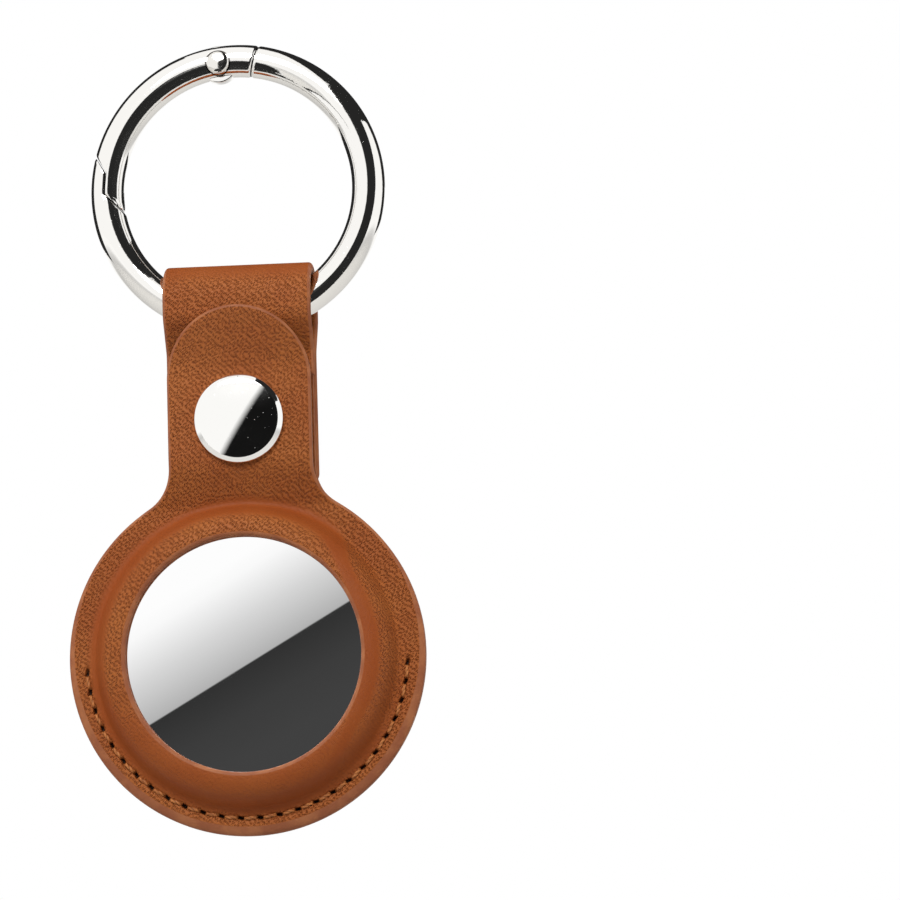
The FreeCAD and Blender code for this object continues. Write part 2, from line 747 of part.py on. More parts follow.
def tag_cover():
    """Polished dish that closes the tag, with a skirt and twist lugs behind it."""
    inside = puck(tag_radius - cover_metal, cover_inner, tag_edge_round - cover_metal)
    dish = puck(tag_radius, tag_half, tag_edge_round).cut(inside)
    dish = dish.common(rod(cover_radius * 2, 0, disc_z, seam_y - tag_half, seam_y - cover_low))
    inner = skirt_outer - cover_skirt_thickness
    top = cover_inner + cover_metal / 2
    skirt = tag_turned([(inner, skirt_low), (skirt_outer, skirt_low), (skirt_outer, top), (inner, top)])
    lugs = tag_turned([(inner, skirt_low), (lug_outer, skirt_low), (lug_outer, skirt_low + lug_height),
                       (inner, skirt_low + lug_height)])
    cover = dish.fuse(skirt)
    for i in range(lug_count):
        wedge = sector(tag_radius, i * 360 / lug_count, lug_width, seam_y - tag_half, seam_y)
        cover = cover.fuse(lugs.common(wedge))
    return cover.removeSplitter()


def tag_shell():
    """Tray of the tag, with a seat for the cover, a groove for its lugs and slots to let them in."""
    body = puck(tag_radius, tag_half, tag_edge_round)
    seat = cover_low - cover_seam_gap
    mouth = cover_radius + cover_seam_gap
    body = body.cut(rod(mouth * 2, 0, disc_z, seam_y - tag_half - overrun, seam_y - seat))
    bore = skirt_outer + lug_gap
    floor = -tag_half + shell_floor
    body = body.cut(tag_turned([(0, floor), (bore, floor), (bore, tag_half), (0, tag_half)]))
    groove_low = skirt_low - lug_gap
    groove_top = skirt_low + lug_height + lug_gap
    groove = lug_outer + lug_gap
    track = [(0, groove_low), (groove, groove_low), (groove, groove_top), (0, groove_top)]
    body = body.cut(tag_turned(track))
    slots = tag_turned([(0, groove_low), (groove, groove_low), (groove, tag_half), (0, tag_half)])
    for i in range(lug_count):
        middle = i * 360 / lug_count + lug_turn
        wedge = sector(tag_radius, middle, lug_slot_width, seam_y - tag_half, seam_y + tag_half)
        body = body.cut(slots.common(wedge))
    ledge = board_radius - shell_floor
    ring = [(ledge, floor), (bore, floor), (bore, board_low), (ledge, board_low)]
    return body.fuse(tag_turned(ring)).removeSplitter()


def tag_cell():
    cell = tag_turned([(0, cell_low), (cell_radius, cell_low), (cell_radius, cell_top), (0, cell_top)])
    level = [e for e in cell.Edges if e.BoundBox.YLength < leather * weld_share]
    rim = [e for e in level if e.BoundBox.XLength > cell_radius]
    return cell.makeFillet(cell_edge_round, rim)


def tag_board():
    corners = [(0, board_low), (board_radius, board_low), (board_radius, board_top), (0, board_top)]
    return tag_turned(corners)


def tag_contacts():
    """Bent spring strips between the board and the cell."""
    made = []
    for i in range(contact_count):
        tip = (contact_length, cell_low - contact_metal)
        path = [(0, board_top), (contact_foot_length, board_top), tip]
        strip = strip_face(path, [contact_height], contact_metal, tag_place)
        strip.translate(vec(contact_radius - contact_length / 2, 0, 0))
        bar = strip.extrude(vec(0, 0, contact_width))
        bar.translate(vec(0, 0, -contact_width / 2))
        bar.rotate(vec(0, 0, disc_z), vec(0, 1, 0), i * 360 / contact_count)
        made.append(bar)
    return Part.makeCompound(made)


def tag_sounder():
    radius = sounder_diameter / 2
    low = -tag_half + shell_floor
    high = board_low - sounder_fit
    return tag_turned([(0, low), (radius, low), (radius, high), (0, high)])


front_lower, front_flap = front_halves()
flap_front_y = flap_y - leather

nodes = {
    "ring_body": ring_body(),
    "ring_gate": ring_gate(),
    "hinge_pin": hinge_pin(),
    "gate_spring": gate_spring(),
    "hanger_strap": hanger_strap(),
    "back_panel": rounded_rim(back_panel(), seam_y + leather),
    "front_panel": front_lower,
    "front_flap": front_flap,
    "pouch_stitching": pouch_stitching(),
    "strap_stitching": strap_stitching(),
    "front_cap": cap_shell(flap_front_y, -1),
    "front_cap_post": cap_post(flap_front_y, -1, leather + socket_base),
    "snap_socket": snap_socket(),
    "socket_catch": socket_catch(),
    "snap_stud": snap_stud(),
    "back_cap": cap_shell(strap_back_y, 1),
    "back_cap_post": cap_post(strap_back_y, 1, leather * 2 + stud_top - post_flare_height),
    "tag_shell": tag_shell(),
    "tag_cover": tag_cover(),
    "tag_cell": tag_cell(),
    "tag_board": tag_board(),
    "tag_contacts": tag_contacts(),
    "tag_sounder": tag_sounder(),
}

os.makedirs("parts", exist_ok=True)
for name, shape in nodes.items():
    shape.exportStep("parts/" + name + ".step")
    print(name, shape.isValid(), len(shape.Solids), round(shape.Volume, 2))
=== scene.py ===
import math
import bpy
import bmesh
import numpy as np
from mathutils import Matrix, Vector


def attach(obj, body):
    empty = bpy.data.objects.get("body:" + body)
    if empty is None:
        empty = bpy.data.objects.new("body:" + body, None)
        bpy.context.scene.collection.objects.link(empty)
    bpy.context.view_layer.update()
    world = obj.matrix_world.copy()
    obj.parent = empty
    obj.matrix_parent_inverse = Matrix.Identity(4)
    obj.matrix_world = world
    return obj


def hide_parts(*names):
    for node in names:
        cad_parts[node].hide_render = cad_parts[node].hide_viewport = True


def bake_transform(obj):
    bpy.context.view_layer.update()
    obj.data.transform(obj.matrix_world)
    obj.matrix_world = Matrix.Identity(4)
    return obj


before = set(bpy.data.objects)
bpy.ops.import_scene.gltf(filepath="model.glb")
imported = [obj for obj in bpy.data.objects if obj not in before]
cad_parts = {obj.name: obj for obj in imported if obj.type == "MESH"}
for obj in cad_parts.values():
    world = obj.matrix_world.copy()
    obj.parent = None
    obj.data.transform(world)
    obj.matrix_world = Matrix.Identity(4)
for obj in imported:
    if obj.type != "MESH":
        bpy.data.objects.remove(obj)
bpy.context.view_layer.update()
print("frame loaded:", len(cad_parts), "nodes")

mm = 0.001                 # pieces are worked out in millimetres
weldReach = 2e-7           # m, points nearer than this are one
holder = {
    "leather": 1.2,        # thickness of every leather piece
    "discZ": -57.262,      # middle of the pouch
    "seamY": -0.6,         # plane where the two panels meet
    "discRadius": 21.5,
    "neckHalf": 8.7,
    "flareRadius": 5.5,    # hollow corner between the neck and the disc
    "stitchRadius": 19.376,
    "stitchCount": 25,
    "stitchStart": 4.0,    # degrees below the middle of the pouch
    "strapSeamZ": -21.212,
    "strapHalf": 9.0,
    "strapStitchCount": 7,
    "strapStitchHalf": 7.7,
    "snapZ": -28.812,
    "backTopZ": -20.112,   # upper end of the back panel
}


# sRGB hex to the linear colour that shaders take
def colour(text):
    value = np.array([int(text[i:i + 2], 16) for i in (1, 3, 5)]) / 255
    linear = np.where(value <= 0.04045, value / 12.92, ((value + 0.055) / 1.055) ** 2.4)
    return (*linear.tolist(), 1.0)


# Smooth step from 0 at low to 1 at high
def ease(value, low, high):
    t = np.clip((value - low) / (high - low), 0, 1)
    return t * t * (3 - 2 * t)


# Mesh object from points in mm and faces of four; values are numbers or vectors per point kept as attributes,
# slots the material number of each face. Points that coincide, as at a pole, are welded, and the closed
# shell gets its faces outwards. Where normals are given, faces of slot 0 are shaded by them and faces of
# slot 1 flat.
def meshPiece(name, points, faces, values=None, slots=None, normals=None):
    mesh = bpy.data.meshes.new(name)
    mesh.vertices.add(len(points))
    mesh.vertices.foreach_set("co", (points * mm).astype(np.float32).ravel())
    mesh.loops.add(faces.size)
    mesh.loops.foreach_set("vertex_index", faces.astype(np.int32).ravel())
    mesh.polygons.add(len(faces))
    mesh.polygons.foreach_set("loop_start", np.arange(len(faces), dtype=np.int32) * 4)
    if slots is not None:
        mesh.polygons.foreach_set("material_index", slots.astype(np.int32))
    mesh.update(calc_edges=True)
    for key, numbers in (values or {}).items():
        wide = numbers.size == points.size
        kept = mesh.attributes.new(key, "FLOAT_VECTOR" if wide else "FLOAT", "POINT").data
        kept.foreach_set("vector" if wide else "value", numbers.astype(np.float32).ravel())
    if normals is not None:
        mesh.attributes.new("shading", "FLOAT_VECTOR", "POINT").data.foreach_set(
            "vector", normals.astype(np.float32).ravel())
    shell = bmesh.new()
    shell.from_mesh(mesh)
    bmesh.ops.remove_doubles(shell, verts=shell.verts, dist=weldReach)
    bmesh.ops.recalc_face_normals(shell, faces=shell.faces)
    shell.to_mesh(mesh)
    shell.free()
    mesh.shade_smooth()
    if normals is not None:
        shadeMesh(mesh)
    piece = bpy.data.objects.new(name, mesh)
    bpy.context.scene.collection.objects.link(piece)
    return piece


# Custom normals: each face corner takes its point's stored normal, or the face's own on flat walls
def shadeMesh(mesh):
    def read(items, key, width, kind):
        numbers = np.empty(len(items) * width, kind)
        items.foreach_get(key, numbers)
        return numbers.reshape(-1, width) if width > 1 else numbers

    stored = read(mesh.attributes["shading"].data, "vector", 3, np.float32)
    corner = read(mesh.loops, "vertex_index", 1, np.int32)
    owner = np.repeat(np.arange(len(mesh.polygons)), read(mesh.polygons, "loop_total", 1, np.int32))
    flat = read(mesh.polygons, "material_index", 1, np.int32)[owner] == 1
    faceNormal = read(mesh.polygons, "normal", 3, np.float32)[owner]
    mesh.normals_split_custom_set(np.where(flat[:, None], faceNormal, stored[corner]).tolist())
    mesh.attributes.remove(mesh.attributes["shading"])


# Corner numbers of the quads between neighbouring rows and columns of a grid
def gridFaces(rows, columns, closeRows=False, closeColumns=False):
    number = np.arange(rows * columns).reshape(rows, columns)
    if closeRows:
        number = np.vstack([number, number[:1]])
    if closeColumns:
        number = np.hstack([number, number[:, :1]])
    quads = [number[:-1, :-1], number[:-1, 1:], number[1:, 1:], number[1:, :-1]]
    return np.stack(quads, axis=-1).reshape(-1, 4)


# Piece from a grid of points, rows by columns, closed where asked
def gridPiece(name, points, closeRows=False, closeColumns=False, values=None):
    faces = gridFaces(points.shape[0], points.shape[1], closeRows, closeColumns)
    return meshPiece(name, points.reshape(-1, 3), faces, values)


# Path through corner points: straight runs, and at each inner corner an arc that touches both runs
def roundedPath(corners, rounds, runCount=10, arcCount=12):
    corners = np.asarray(corners, float)
    runs = np.diff(corners, axis=0)
    runs /= np.linalg.norm(runs, axis=1)[:, None]
    parts = []
    here = corners[0]
    for i, radius in enumerate(rounds, start=1):
        a, b = runs[i - 1], runs[i]
        turn = math.atan2(a[0] * b[1] - a[1] * b[0], a @ b)
        cut = radius * math.tan(abs(turn) / 2)
        start = corners[i] - cut * a
        centre = start + math.copysign(radius, turn) * np.array([-a[1], a[0]])
        parts.append(here + (start - here) * np.linspace(0, 1, runCount, endpoint=False)[:, None])
        swing = np.linspace(0, turn, arcCount, endpoint=False)[:, None]
        spoke = start - centre
        across = np.array([-spoke[1], spoke[0]])
        parts.append(centre + spoke * np.cos(swing) + across * np.sin(swing))
        here = corners[i] + cut * b
    parts.append(here + (corners[-1] - here) * np.linspace(0, 1, runCount + 1)[:, None])
    return np.concatenate(parts)


# The same path moved to its left: corners go along the bisectors, left turns lose the distance, right turns
# gain it
def besidePath(corners, rounds, distance, **counts):
    corners = np.asarray(corners, float)
    runs = np.diff(corners, axis=0)
    runs /= np.linalg.norm(runs, axis=1)[:, None]
    normals = np.stack([-runs[:, 1], runs[:, 0]], axis=1)
    moved = corners.copy()
    moved[0] += distance * normals[0]
    moved[-1] += distance * normals[-1]
    both = normals[:-1] + normals[1:]
    moved[1:-1] += distance * both / (1 + np.sum(normals[:-1] * normals[1:], axis=1))[:, None]
    turns = runs[:-1, 0] * runs[1:, 1] - runs[:-1, 1] * runs[1:, 0]
    return roundedPath(moved, np.asarray(rounds) - distance * np.sign(turns), **counts)


# Profile (radius, height) turned about a line that runs front to back through (x, z); heights go towards side
def turnedPiece(name, profile, baseY, side, centreZ, centreX=0.0, count=160):
    angle = np.linspace(0, 2 * math.pi, count, endpoint=False)[None, :]
    radius, height = profile[:, 0][:, None], profile[:, 1][:, None]
    points = np.stack([centreX + radius * np.cos(angle), baseY + side * height + 0 * angle,
                       centreZ + radius * np.sin(angle)], axis=-1)
    return gridPiece(name, points, closeColumns=True)


# Materials

class Shader:
    # A material with its node tree, and short ways to add nodes and wires
    def __init__(self, name):
        self.material = bpy.data.materials.new(name)
        self.material.use_nodes = True
        self.tree = self.material.node_tree
        self.surface = self.tree.nodes["Principled BSDF"]
        self.place = self.add("ShaderNodeTexCoord").outputs["Object"]

    def add(self, kind, inputs=None, **settings):
        made = self.tree.nodes.new(kind)
        for key, value in settings.items():
            setattr(made, key, value)
        for key, value in (inputs or {}).items():
            self.feed(made.inputs[key], value)
        return made

    def feed(self, socket, value):
        if isinstance(value, bpy.types.NodeSocket):
            self.tree.links.new(value, socket)
        else:
            socket.default_value = value

    def set(self, **inputs):
        for key, value in inputs.items():
            self.feed(self.surface.inputs[key.replace("_", " ")], value)

    def noise(self, size, detail):
        return self.add("ShaderNodeTexNoise", {"Vector": self.place, "Scale": 1 / (size * mm),
                                               "Detail": detail, "Roughness": 0.55}).outputs["Fac"]

    def cells(self, size):
        made = self.add("ShaderNodeTexVoronoi", {"Vector": self.place, "Scale": 1 / (size * mm)})
        return made.outputs["Distance"]

    def ramp(self, value, low, high, toLow=0.0, toHigh=1.0):
        ends = {"Value": value, "From Min": low, "From Max": high, "To Min": toLow, "To Max": toHigh}
        return self.add("ShaderNodeMapRange", ends, interpolation_type="SMOOTHSTEP").outputs["Result"]

    def calc(self, a, b, kind="ADD"):
        return self.add("ShaderNodeMath", {0: a, 1: b}, operation=kind).outputs[0]

    def vector(self, kind, a, b=None):
        inputs = {0: a} if b is None else {0: a, 1: b}
        made = self.add("ShaderNodeVectorMath", inputs, operation=kind)
        return made.outputs["Value" if kind in ("LENGTH", "DOT_PRODUCT") else "Vector"]

    def mix(self, amount, a, b):
        made = self.add("ShaderNodeMix", data_type="RGBA")
        for index, value in ((0, amount), (6, a), (7, b)):    # 6 and 7 are the colours
            self.feed(made.inputs[index], value)
        return made.outputs[2]

    def attribute(self, name):
        return self.add("ShaderNodeAttribute", attribute_name=name).outputs["Fac"]

    def bump(self, height, depth):
        inputs = {"Height": height, "Distance": depth * mm, "Strength": 1.0}
        return self.add("ShaderNodeBump", inputs).outputs["Normal"]


midRange = (0.3, 0.7)    # where most of a noise's values lie
leatherFinish = {
    # the grain's pits take a darker colour, which is painted shade
    "light": "#ac632f", "dark": "#a35929", "cavity": "#742f0f", "cavityShare": 0.7,
    # stretched leather takes a darker tone, partly painted shade on the pouch's lower bulge and right face
    # the needle holes' near black is painted shade
    "stretchShade": "#8a390d", "stretchShadeShare": 0.6, "paint": "#ac6c46", "paintDark": "#97593b", "hole": "#150904",
    "grain": 0.19, "grainDepth": 0.14,          # mm
    "pitEnd": 0.52, "uneven": 0.6,              # radius of a pit in cells, and how far the grid strays
    "long": 2.8, "lean": 48.0,                  # pits drawn out, and on a slant in degrees
    "warpSize": 1.5, "warp": 0.12, "patchSize": 0.6, "patchLow": 0.65,
    "fineSize": 0.14, "fineShare": 0.25, "broadSize": 7.0, "paintSize": 2.5,
    "stretchedGrain": 0.18, "paintedGrain": 0.08,
    "rough": (0.48, 0.64), "specular": 0.2,
}


# Grain: slanted pits on an uneven grid, darkened with painted shade and laid over the leather as it was
# before it was bent, lightly warped, and flattened where the leather is stretched or painted at its edges
def leatherMaterial():
    look = leatherFinish
    shader = Shader("tan_leather")
    warp = shader.add("ShaderNodeTexNoise", {"Vector": shader.place, "Scale": 1 / (look["warpSize"] * mm),
                                             "Detail": 0.0}).outputs["Color"]
    push = shader.vector("SUBTRACT", warp, (0.5, 0.5, 0.5))
    scaled = {0: push, "Scale": look["warp"] * mm}
    shift = shader.add("ShaderNodeVectorMath", scaled, operation="SCALE").outputs[0]
    hide = shader.add("ShaderNodeAttribute", attribute_name="hide").outputs["Vector"]
    slant = {"Vector": shader.vector("ADD", hide, shift), "Rotation": (0, -math.radians(look["lean"]), 0),
             "Scale": (look["long"], 1.0, 1.0)}
    drawn = shader.add("ShaderNodeMapping", slant, vector_type="TEXTURE").outputs[0]
    part = shader.add("ShaderNodeSeparateXYZ", {0: drawn}).outputs
    sheet = shader.add("ShaderNodeCombineXYZ", {0: part["X"], 1: part["Z"]}).outputs[0]
    grid = {"Vector": sheet, "Scale": 1 / (look["grain"] * mm), "Randomness": look["uneven"]}
    cells = shader.add("ShaderNodeTexVoronoi", grid, voronoi_dimensions="2D").outputs["Distance"]
    patches = shader.ramp(shader.noise(look["patchSize"], 2.0), 0.3, 0.6, look["patchLow"], 1.0)
    pits = shader.calc(shader.ramp(cells, 0.0, look["pitEnd"], 1.0, 0.0), patches, "MULTIPLY")
    fine = shader.noise(look["fineSize"], 3.0)
    paint = shader.attribute("edgePaint")
    stretch = shader.attribute("stretch")
    hole = shader.attribute("needleHole")
    pebble = shader.calc(shader.calc(fine, look["fineShare"], "MULTIPLY"), pits, "SUBTRACT")
    calm = shader.calc(shader.ramp(stretch, 0.0, 1.0, 1.0, look["stretchedGrain"]),
                       shader.ramp(paint, 0.0, 0.8, 1.0, look["paintedGrain"]), "MULTIPLY")
    height = shader.calc(pebble, calm, "MULTIPLY")
    broad = shader.noise(look["broadSize"], 3.0)
    tone = shader.mix(shader.ramp(broad, *midRange), colour(look["dark"]), colour(look["light"]))
    # darker tone of stretched leather, on the pouch's lower bulge and right face painted shade
    tone = shader.mix(shader.calc(stretch, look["stretchShadeShare"], "MULTIPLY"), tone, colour(look["stretchShade"]))
    # painted shade in the grain's pits
    shadedPits = shader.calc(shader.calc(pits, calm, "MULTIPLY"), look["cavityShare"], "MULTIPLY")
    tone = shader.mix(shadedPits, tone, colour(look["cavity"]))
    blotch = shader.ramp(shader.noise(look["paintSize"], 3.0), 0.35, 0.7)
    edge = shader.mix(blotch, colour(look["paintDark"]), colour(look["paint"]))
    tone = shader.mix(shader.ramp(paint, 0.15, 0.6), tone, edge)
    # needle holes painted near black: painted shade in the holes
    tone = shader.mix(hole, tone, colour(look["hole"]))
    shader.set(Base_Color=tone, Roughness=shader.ramp(fine, *midRange, *look["rough"]),
               Specular_IOR_Level=look["specular"], Normal=shader.bump(height, look["grainDepth"]))
    return shader.material


platingFinish = {
    "cloud": 3.0, "dust": 0.55, "dustEdge": (0.05, 0.1), "few": 1.3, "fewEdge": (0.42, 0.52), "ripple": 0.7,
    "seatShadowLine": (0.04, 0.1), "seatShadowTint": "#4a423b",
}


# Bright plating: a faint cloud in the gloss, dust specks, and where asked a very shallow ripple and a dark
# line of painted shadow round a pin's seat, which is a circle about the pin given by its place and radius
def chromeMaterial(name, tint, gloss, speck, ripple=0.0, seat=None):
    look = platingFinish
    shader = Shader(name)
    cloud = shader.noise(look["cloud"], 4.0)
    dust = shader.ramp(shader.cells(look["dust"]), *look["dustEdge"], 1.0, 0.0)
    few = shader.ramp(shader.noise(look["few"], 2.0), *look["fewEdge"])
    specks = shader.calc(shader.calc(dust, few, "MULTIPLY"), speck, "MULTIPLY")
    rough = shader.calc(shader.ramp(cloud, 0.35, 0.7, gloss, gloss * 2), specks)
    shader.set(Base_Color=colour(tint), Metallic=1.0, Roughness=rough)
    if ripple:
        shader.set(Normal=shader.bump(shader.noise(look["ripple"], 3.0), ripple))
    # a dark line round the pin's head, painted shadow
    if seat:
        x, z, radius = seat
        moved = shader.vector("SUBTRACT", shader.place, (x * mm, 0, z * mm))
        away = shader.vector("LENGTH", shader.vector("MULTIPLY", moved, (1, 0, 1)))
        off = shader.calc(shader.calc(away, radius * mm, "SUBTRACT"), 0.0, "ABSOLUTE")
        near, far = look["seatShadowLine"]
        line = shader.ramp(off, near * mm, far * mm, 1.0, 0.0)
        shader.set(Base_Color=shader.mix(line, colour(tint), colour(look["seatShadowTint"])))
    return shader.material


threadFinish = {
    # the darker tone between the plies is painted shade
    "light": "#c97f43", "dark": "#a05c2c", "plyShade": "#6f3a18", "plyShadeEnd": 0.45, "plyShadeShare": 0.6,
    "hair": 0.07, "hairDepth": 0.02, "broad": 0.9, "rough": 0.55, "specular": 0.35,
}


# Waxed thread: colour from a fine and a broad noise, with painted shade in the valleys between the plies
def threadMaterial():
    look = threadFinish
    shader = Shader("waxed_thread")
    fibre = shader.noise(look["hair"], 3.0)
    broad = shader.noise(look["broad"], 2.0)
    ply = shader.attribute("ply")
    both = shader.calc(shader.calc(fibre, broad), 0.5, "MULTIPLY")
    tone = shader.mix(shader.ramp(both, 0.35, 0.65), colour(look["dark"]), colour(look["light"]))
    plyShade = shader.ramp(ply, 0.0, look["plyShadeEnd"], look["plyShadeShare"], 0.0)
    tone = shader.mix(plyShade, tone, colour(look["plyShade"]))
    shader.set(Base_Color=tone, Roughness=look["rough"], Specular_IOR_Level=look["specular"],
               Normal=shader.bump(fibre, look["hairDepth"]))
    return shader.material


plainFinish = {
    "fine": 0.12,      # size of the fine noise per broad one
    "depth": 0.003,    # mm
    "spread": 0.15,    # share of the gloss
}


# Plain finish with a fine texture: colour varied by a broad noise, gloss by a fine one
def plainMaterial(name, light, dark, rough, metallic, size):
    look = plainFinish
    shader = Shader(name)
    broad = shader.noise(size, 3.0)
    fine = shader.noise(size * look["fine"], 3.0)
    tone = shader.mix(shader.ramp(broad, *midRange), colour(dark), colour(light))
    gloss = shader.ramp(fine, *midRange, rough * (1 - look["spread"]), rough * (1 + look["spread"]))
    shader.set(Base_Color=tone, Metallic=metallic, Roughness=gloss, Normal=shader.bump(fine, look["depth"]))
    return shader.material


gateSeat = (-1.913, 15.583, 1.47)    # x and z of the pin, radius of the painted shadow line round its head
leatherSkin = leatherMaterial()
ringPlating = chromeMaterial("ring_plating", "#f8f6f2", 0.03, 0.35, 0.005)
capPlating = chromeMaterial("cap_plating", "#faf9f6", 0.025, 0.35, 0.0008)
gatePlating = chromeMaterial("gate_plating", "#f8f6f2", 0.03, 0.35, 0.005, gateSeat)
pinPlating = chromeMaterial("pin_plating", "#f0ede7", 0.05, 0.2)
# dark metal of the cuts' end walls, there painted shade in the narrow joints, and of the tang's neck
jointShadeMetal = plainMaterial("joint_shade_metal", "#2a2420", "#171310", 0.6, 0.0, 0.8)
threadSkin = threadMaterial()
coverSteel = chromeMaterial("polished_cover", "#fdfdfd", 0.005, 0.0)
print("materials made")


# Leather panels

outline = {"step": 0.45, "perStitch": 14, "cornerRound": 0.8, "quarterArc": 1.6, "endPoints": 16}


# Half of a panel's outline about the pouch's middle, from the bottom up the right side: disc arc, hollow
# corner, neck side, then a round tip or a square end with small corners; spaced finely along the stitches
def halfOutline(topZ, roundTip):
    size, look = holder, outline
    centreX = size["neckHalf"] + size["flareRadius"]
    reach = size["discRadius"] + size["flareRadius"]
    rise = math.sqrt(reach ** 2 - centreX ** 2)
    touch = math.atan2(rise, centreX)
    start = math.radians(-size["stitchStart"])
    top = topZ - size["discZ"]
    corner = size["neckHalf"] if roundTip else look["cornerRound"]

    def arc(centre, radius, fromAngle, toAngle, count):
        angle = np.linspace(fromAngle, toAngle, count, endpoint=False)
        return np.stack([centre[0] + radius * np.cos(angle), centre[1] + radius * np.sin(angle)], axis=1)

    def count(length):
        return max(3, int(math.ceil(length / look["step"])))

    radius, flare = size["discRadius"], size["flareRadius"]
    fine = int(size["stitchCount"] * look["perStitch"] / 2)
    parts = [arc((0, 0), radius, -math.pi / 2, start, fine)]
    parts.append(arc((0, 0), radius, start, touch, count(radius * (touch - start))))
    parts.append(arc((centreX, rise), flare, math.pi + touch, math.pi, count(flare * touch)))
    side = np.linspace(rise, top - corner, count(top - corner - rise), endpoint=False)
    parts.append(np.stack([np.full_like(side, size["neckHalf"]), side], axis=1))
    turned = count(corner * look["quarterArc"])
    parts.append(arc((size["neckHalf"] - corner, top - corner), corner, 0, math.pi / 2, turned))
    if not roundTip:
        flat = np.linspace(size["neckHalf"] - corner, 0, look["endPoints"])[:-1]
        parts.append(np.stack([flat, np.full(len(flat), top)], axis=1))
    parts.append(np.array([[0.0, top]]))
    return np.concatenate(parts)


# Whole outline, anticlockwise from the bottom, and its inward normals
def panelOutline(topZ, roundTip):
    half = halfOutline(topZ, roundTip)
    left = half[1:-1][::-1] * np.array([-1.0, 1.0])
    curve = np.concatenate([half, left])
    along = np.roll(curve, -1, axis=0) - np.roll(curve, 1, axis=0)
    along /= np.linalg.norm(along, axis=1)[:, None]
    return curve, np.stack([-along[:, 1], along[:, 0]], axis=1)


# the needle's slits lie a little slanted to the line
needle = {"lean": 12.0, "long": 0.5, "short": 0.2, "grooveHalf": 0.42, "fade": (-0.5, 0.3)}


# Needle holes round the pouch: bell-shaped dents at equal angles on the stitch line, and the groove that
# joins them
def seamDents(x, z):
    size, look = holder, needle
    radius = np.hypot(x, z)
    angle = np.degrees(np.arctan2(z, x)) % 360
    first, span = 180 + size["stitchStart"], 180 - 2 * size["stitchStart"]
    turn = (angle - first) / span * size["stitchCount"]
    pitch = math.radians(span) * size["stitchRadius"] / size["stitchCount"]
    nearest = np.clip(np.round(turn), 0, size["stitchCount"])
    along = (turn - nearest) * pitch
    across = radius - size["stitchRadius"]
    lean = math.radians(look["lean"])
    long = along * math.cos(lean) + across * math.sin(lean)
    short = across * math.cos(lean) - along * math.sin(lean)
    hole = np.exp(-((long / look["long"]) ** 4 + (short / look["short"]) ** 4))
    inside = ease(turn, *look["fade"]) * ease(size["stitchCount"] - turn, *look["fade"])
    groove = np.exp(-(across / look["grooveHalf"]) ** 2) * inside
    return hole, groove


pocket = {
    "height": 4.12,                       # inside of the pocket above the seam plane
    "corners": [(15.9, 4.12), (17.5, 0.0)], "rounds": [2.0, 2.2], "arcCount": 24,
    "out": 24.0, "crease": 19.1, "window": 14.15,
    "lipRound": 0.55, "lipPaint": 0.4,    # painted edge of the window
    "edgeNeck": 0.34, "edgePouch": 1.2, "edgeBlend": (16.0, -16.0),    # painted edge, fuller round the pouch
    "edgeDepth": 0.75, "edgePaint": 1.6,  # depth per width
    "edgeCrease": 0.8,                    # radians, where the edge's curve starts from the face
    "innerRound": 0.08,                   # the inner side stays nearly square
    "groove": 0.1, "hole": 0.6,
    "middleRows": (0.0, 3.0, 6.0, 9.0, 11.5, 13.3), "faceStart": 14.4, "underRows": (7.0, 0.0),
    "roundCount": 8, "faceCount": 36, "brimCount": 32, "edgeCount": 12, "underBrim": 16, "underFace": 18,
    # the wall is pulled smooth, the lower bulge too, and at the right the face instead of the wall; the same
    # mask darkens them, as painted shade on the lower bulge and the right face
    "smoothWall": 17.9, "smoothFade": (1.7, 0.6),
    "smoothLow": 0.75, "lowDepth": (1.0, 12.0), "lowRim": (19.6, 18.8),
    "smoothShift": 2.6, "rightX": (8.0, 14.0), "rightZ": (17.0, 9.0),
}


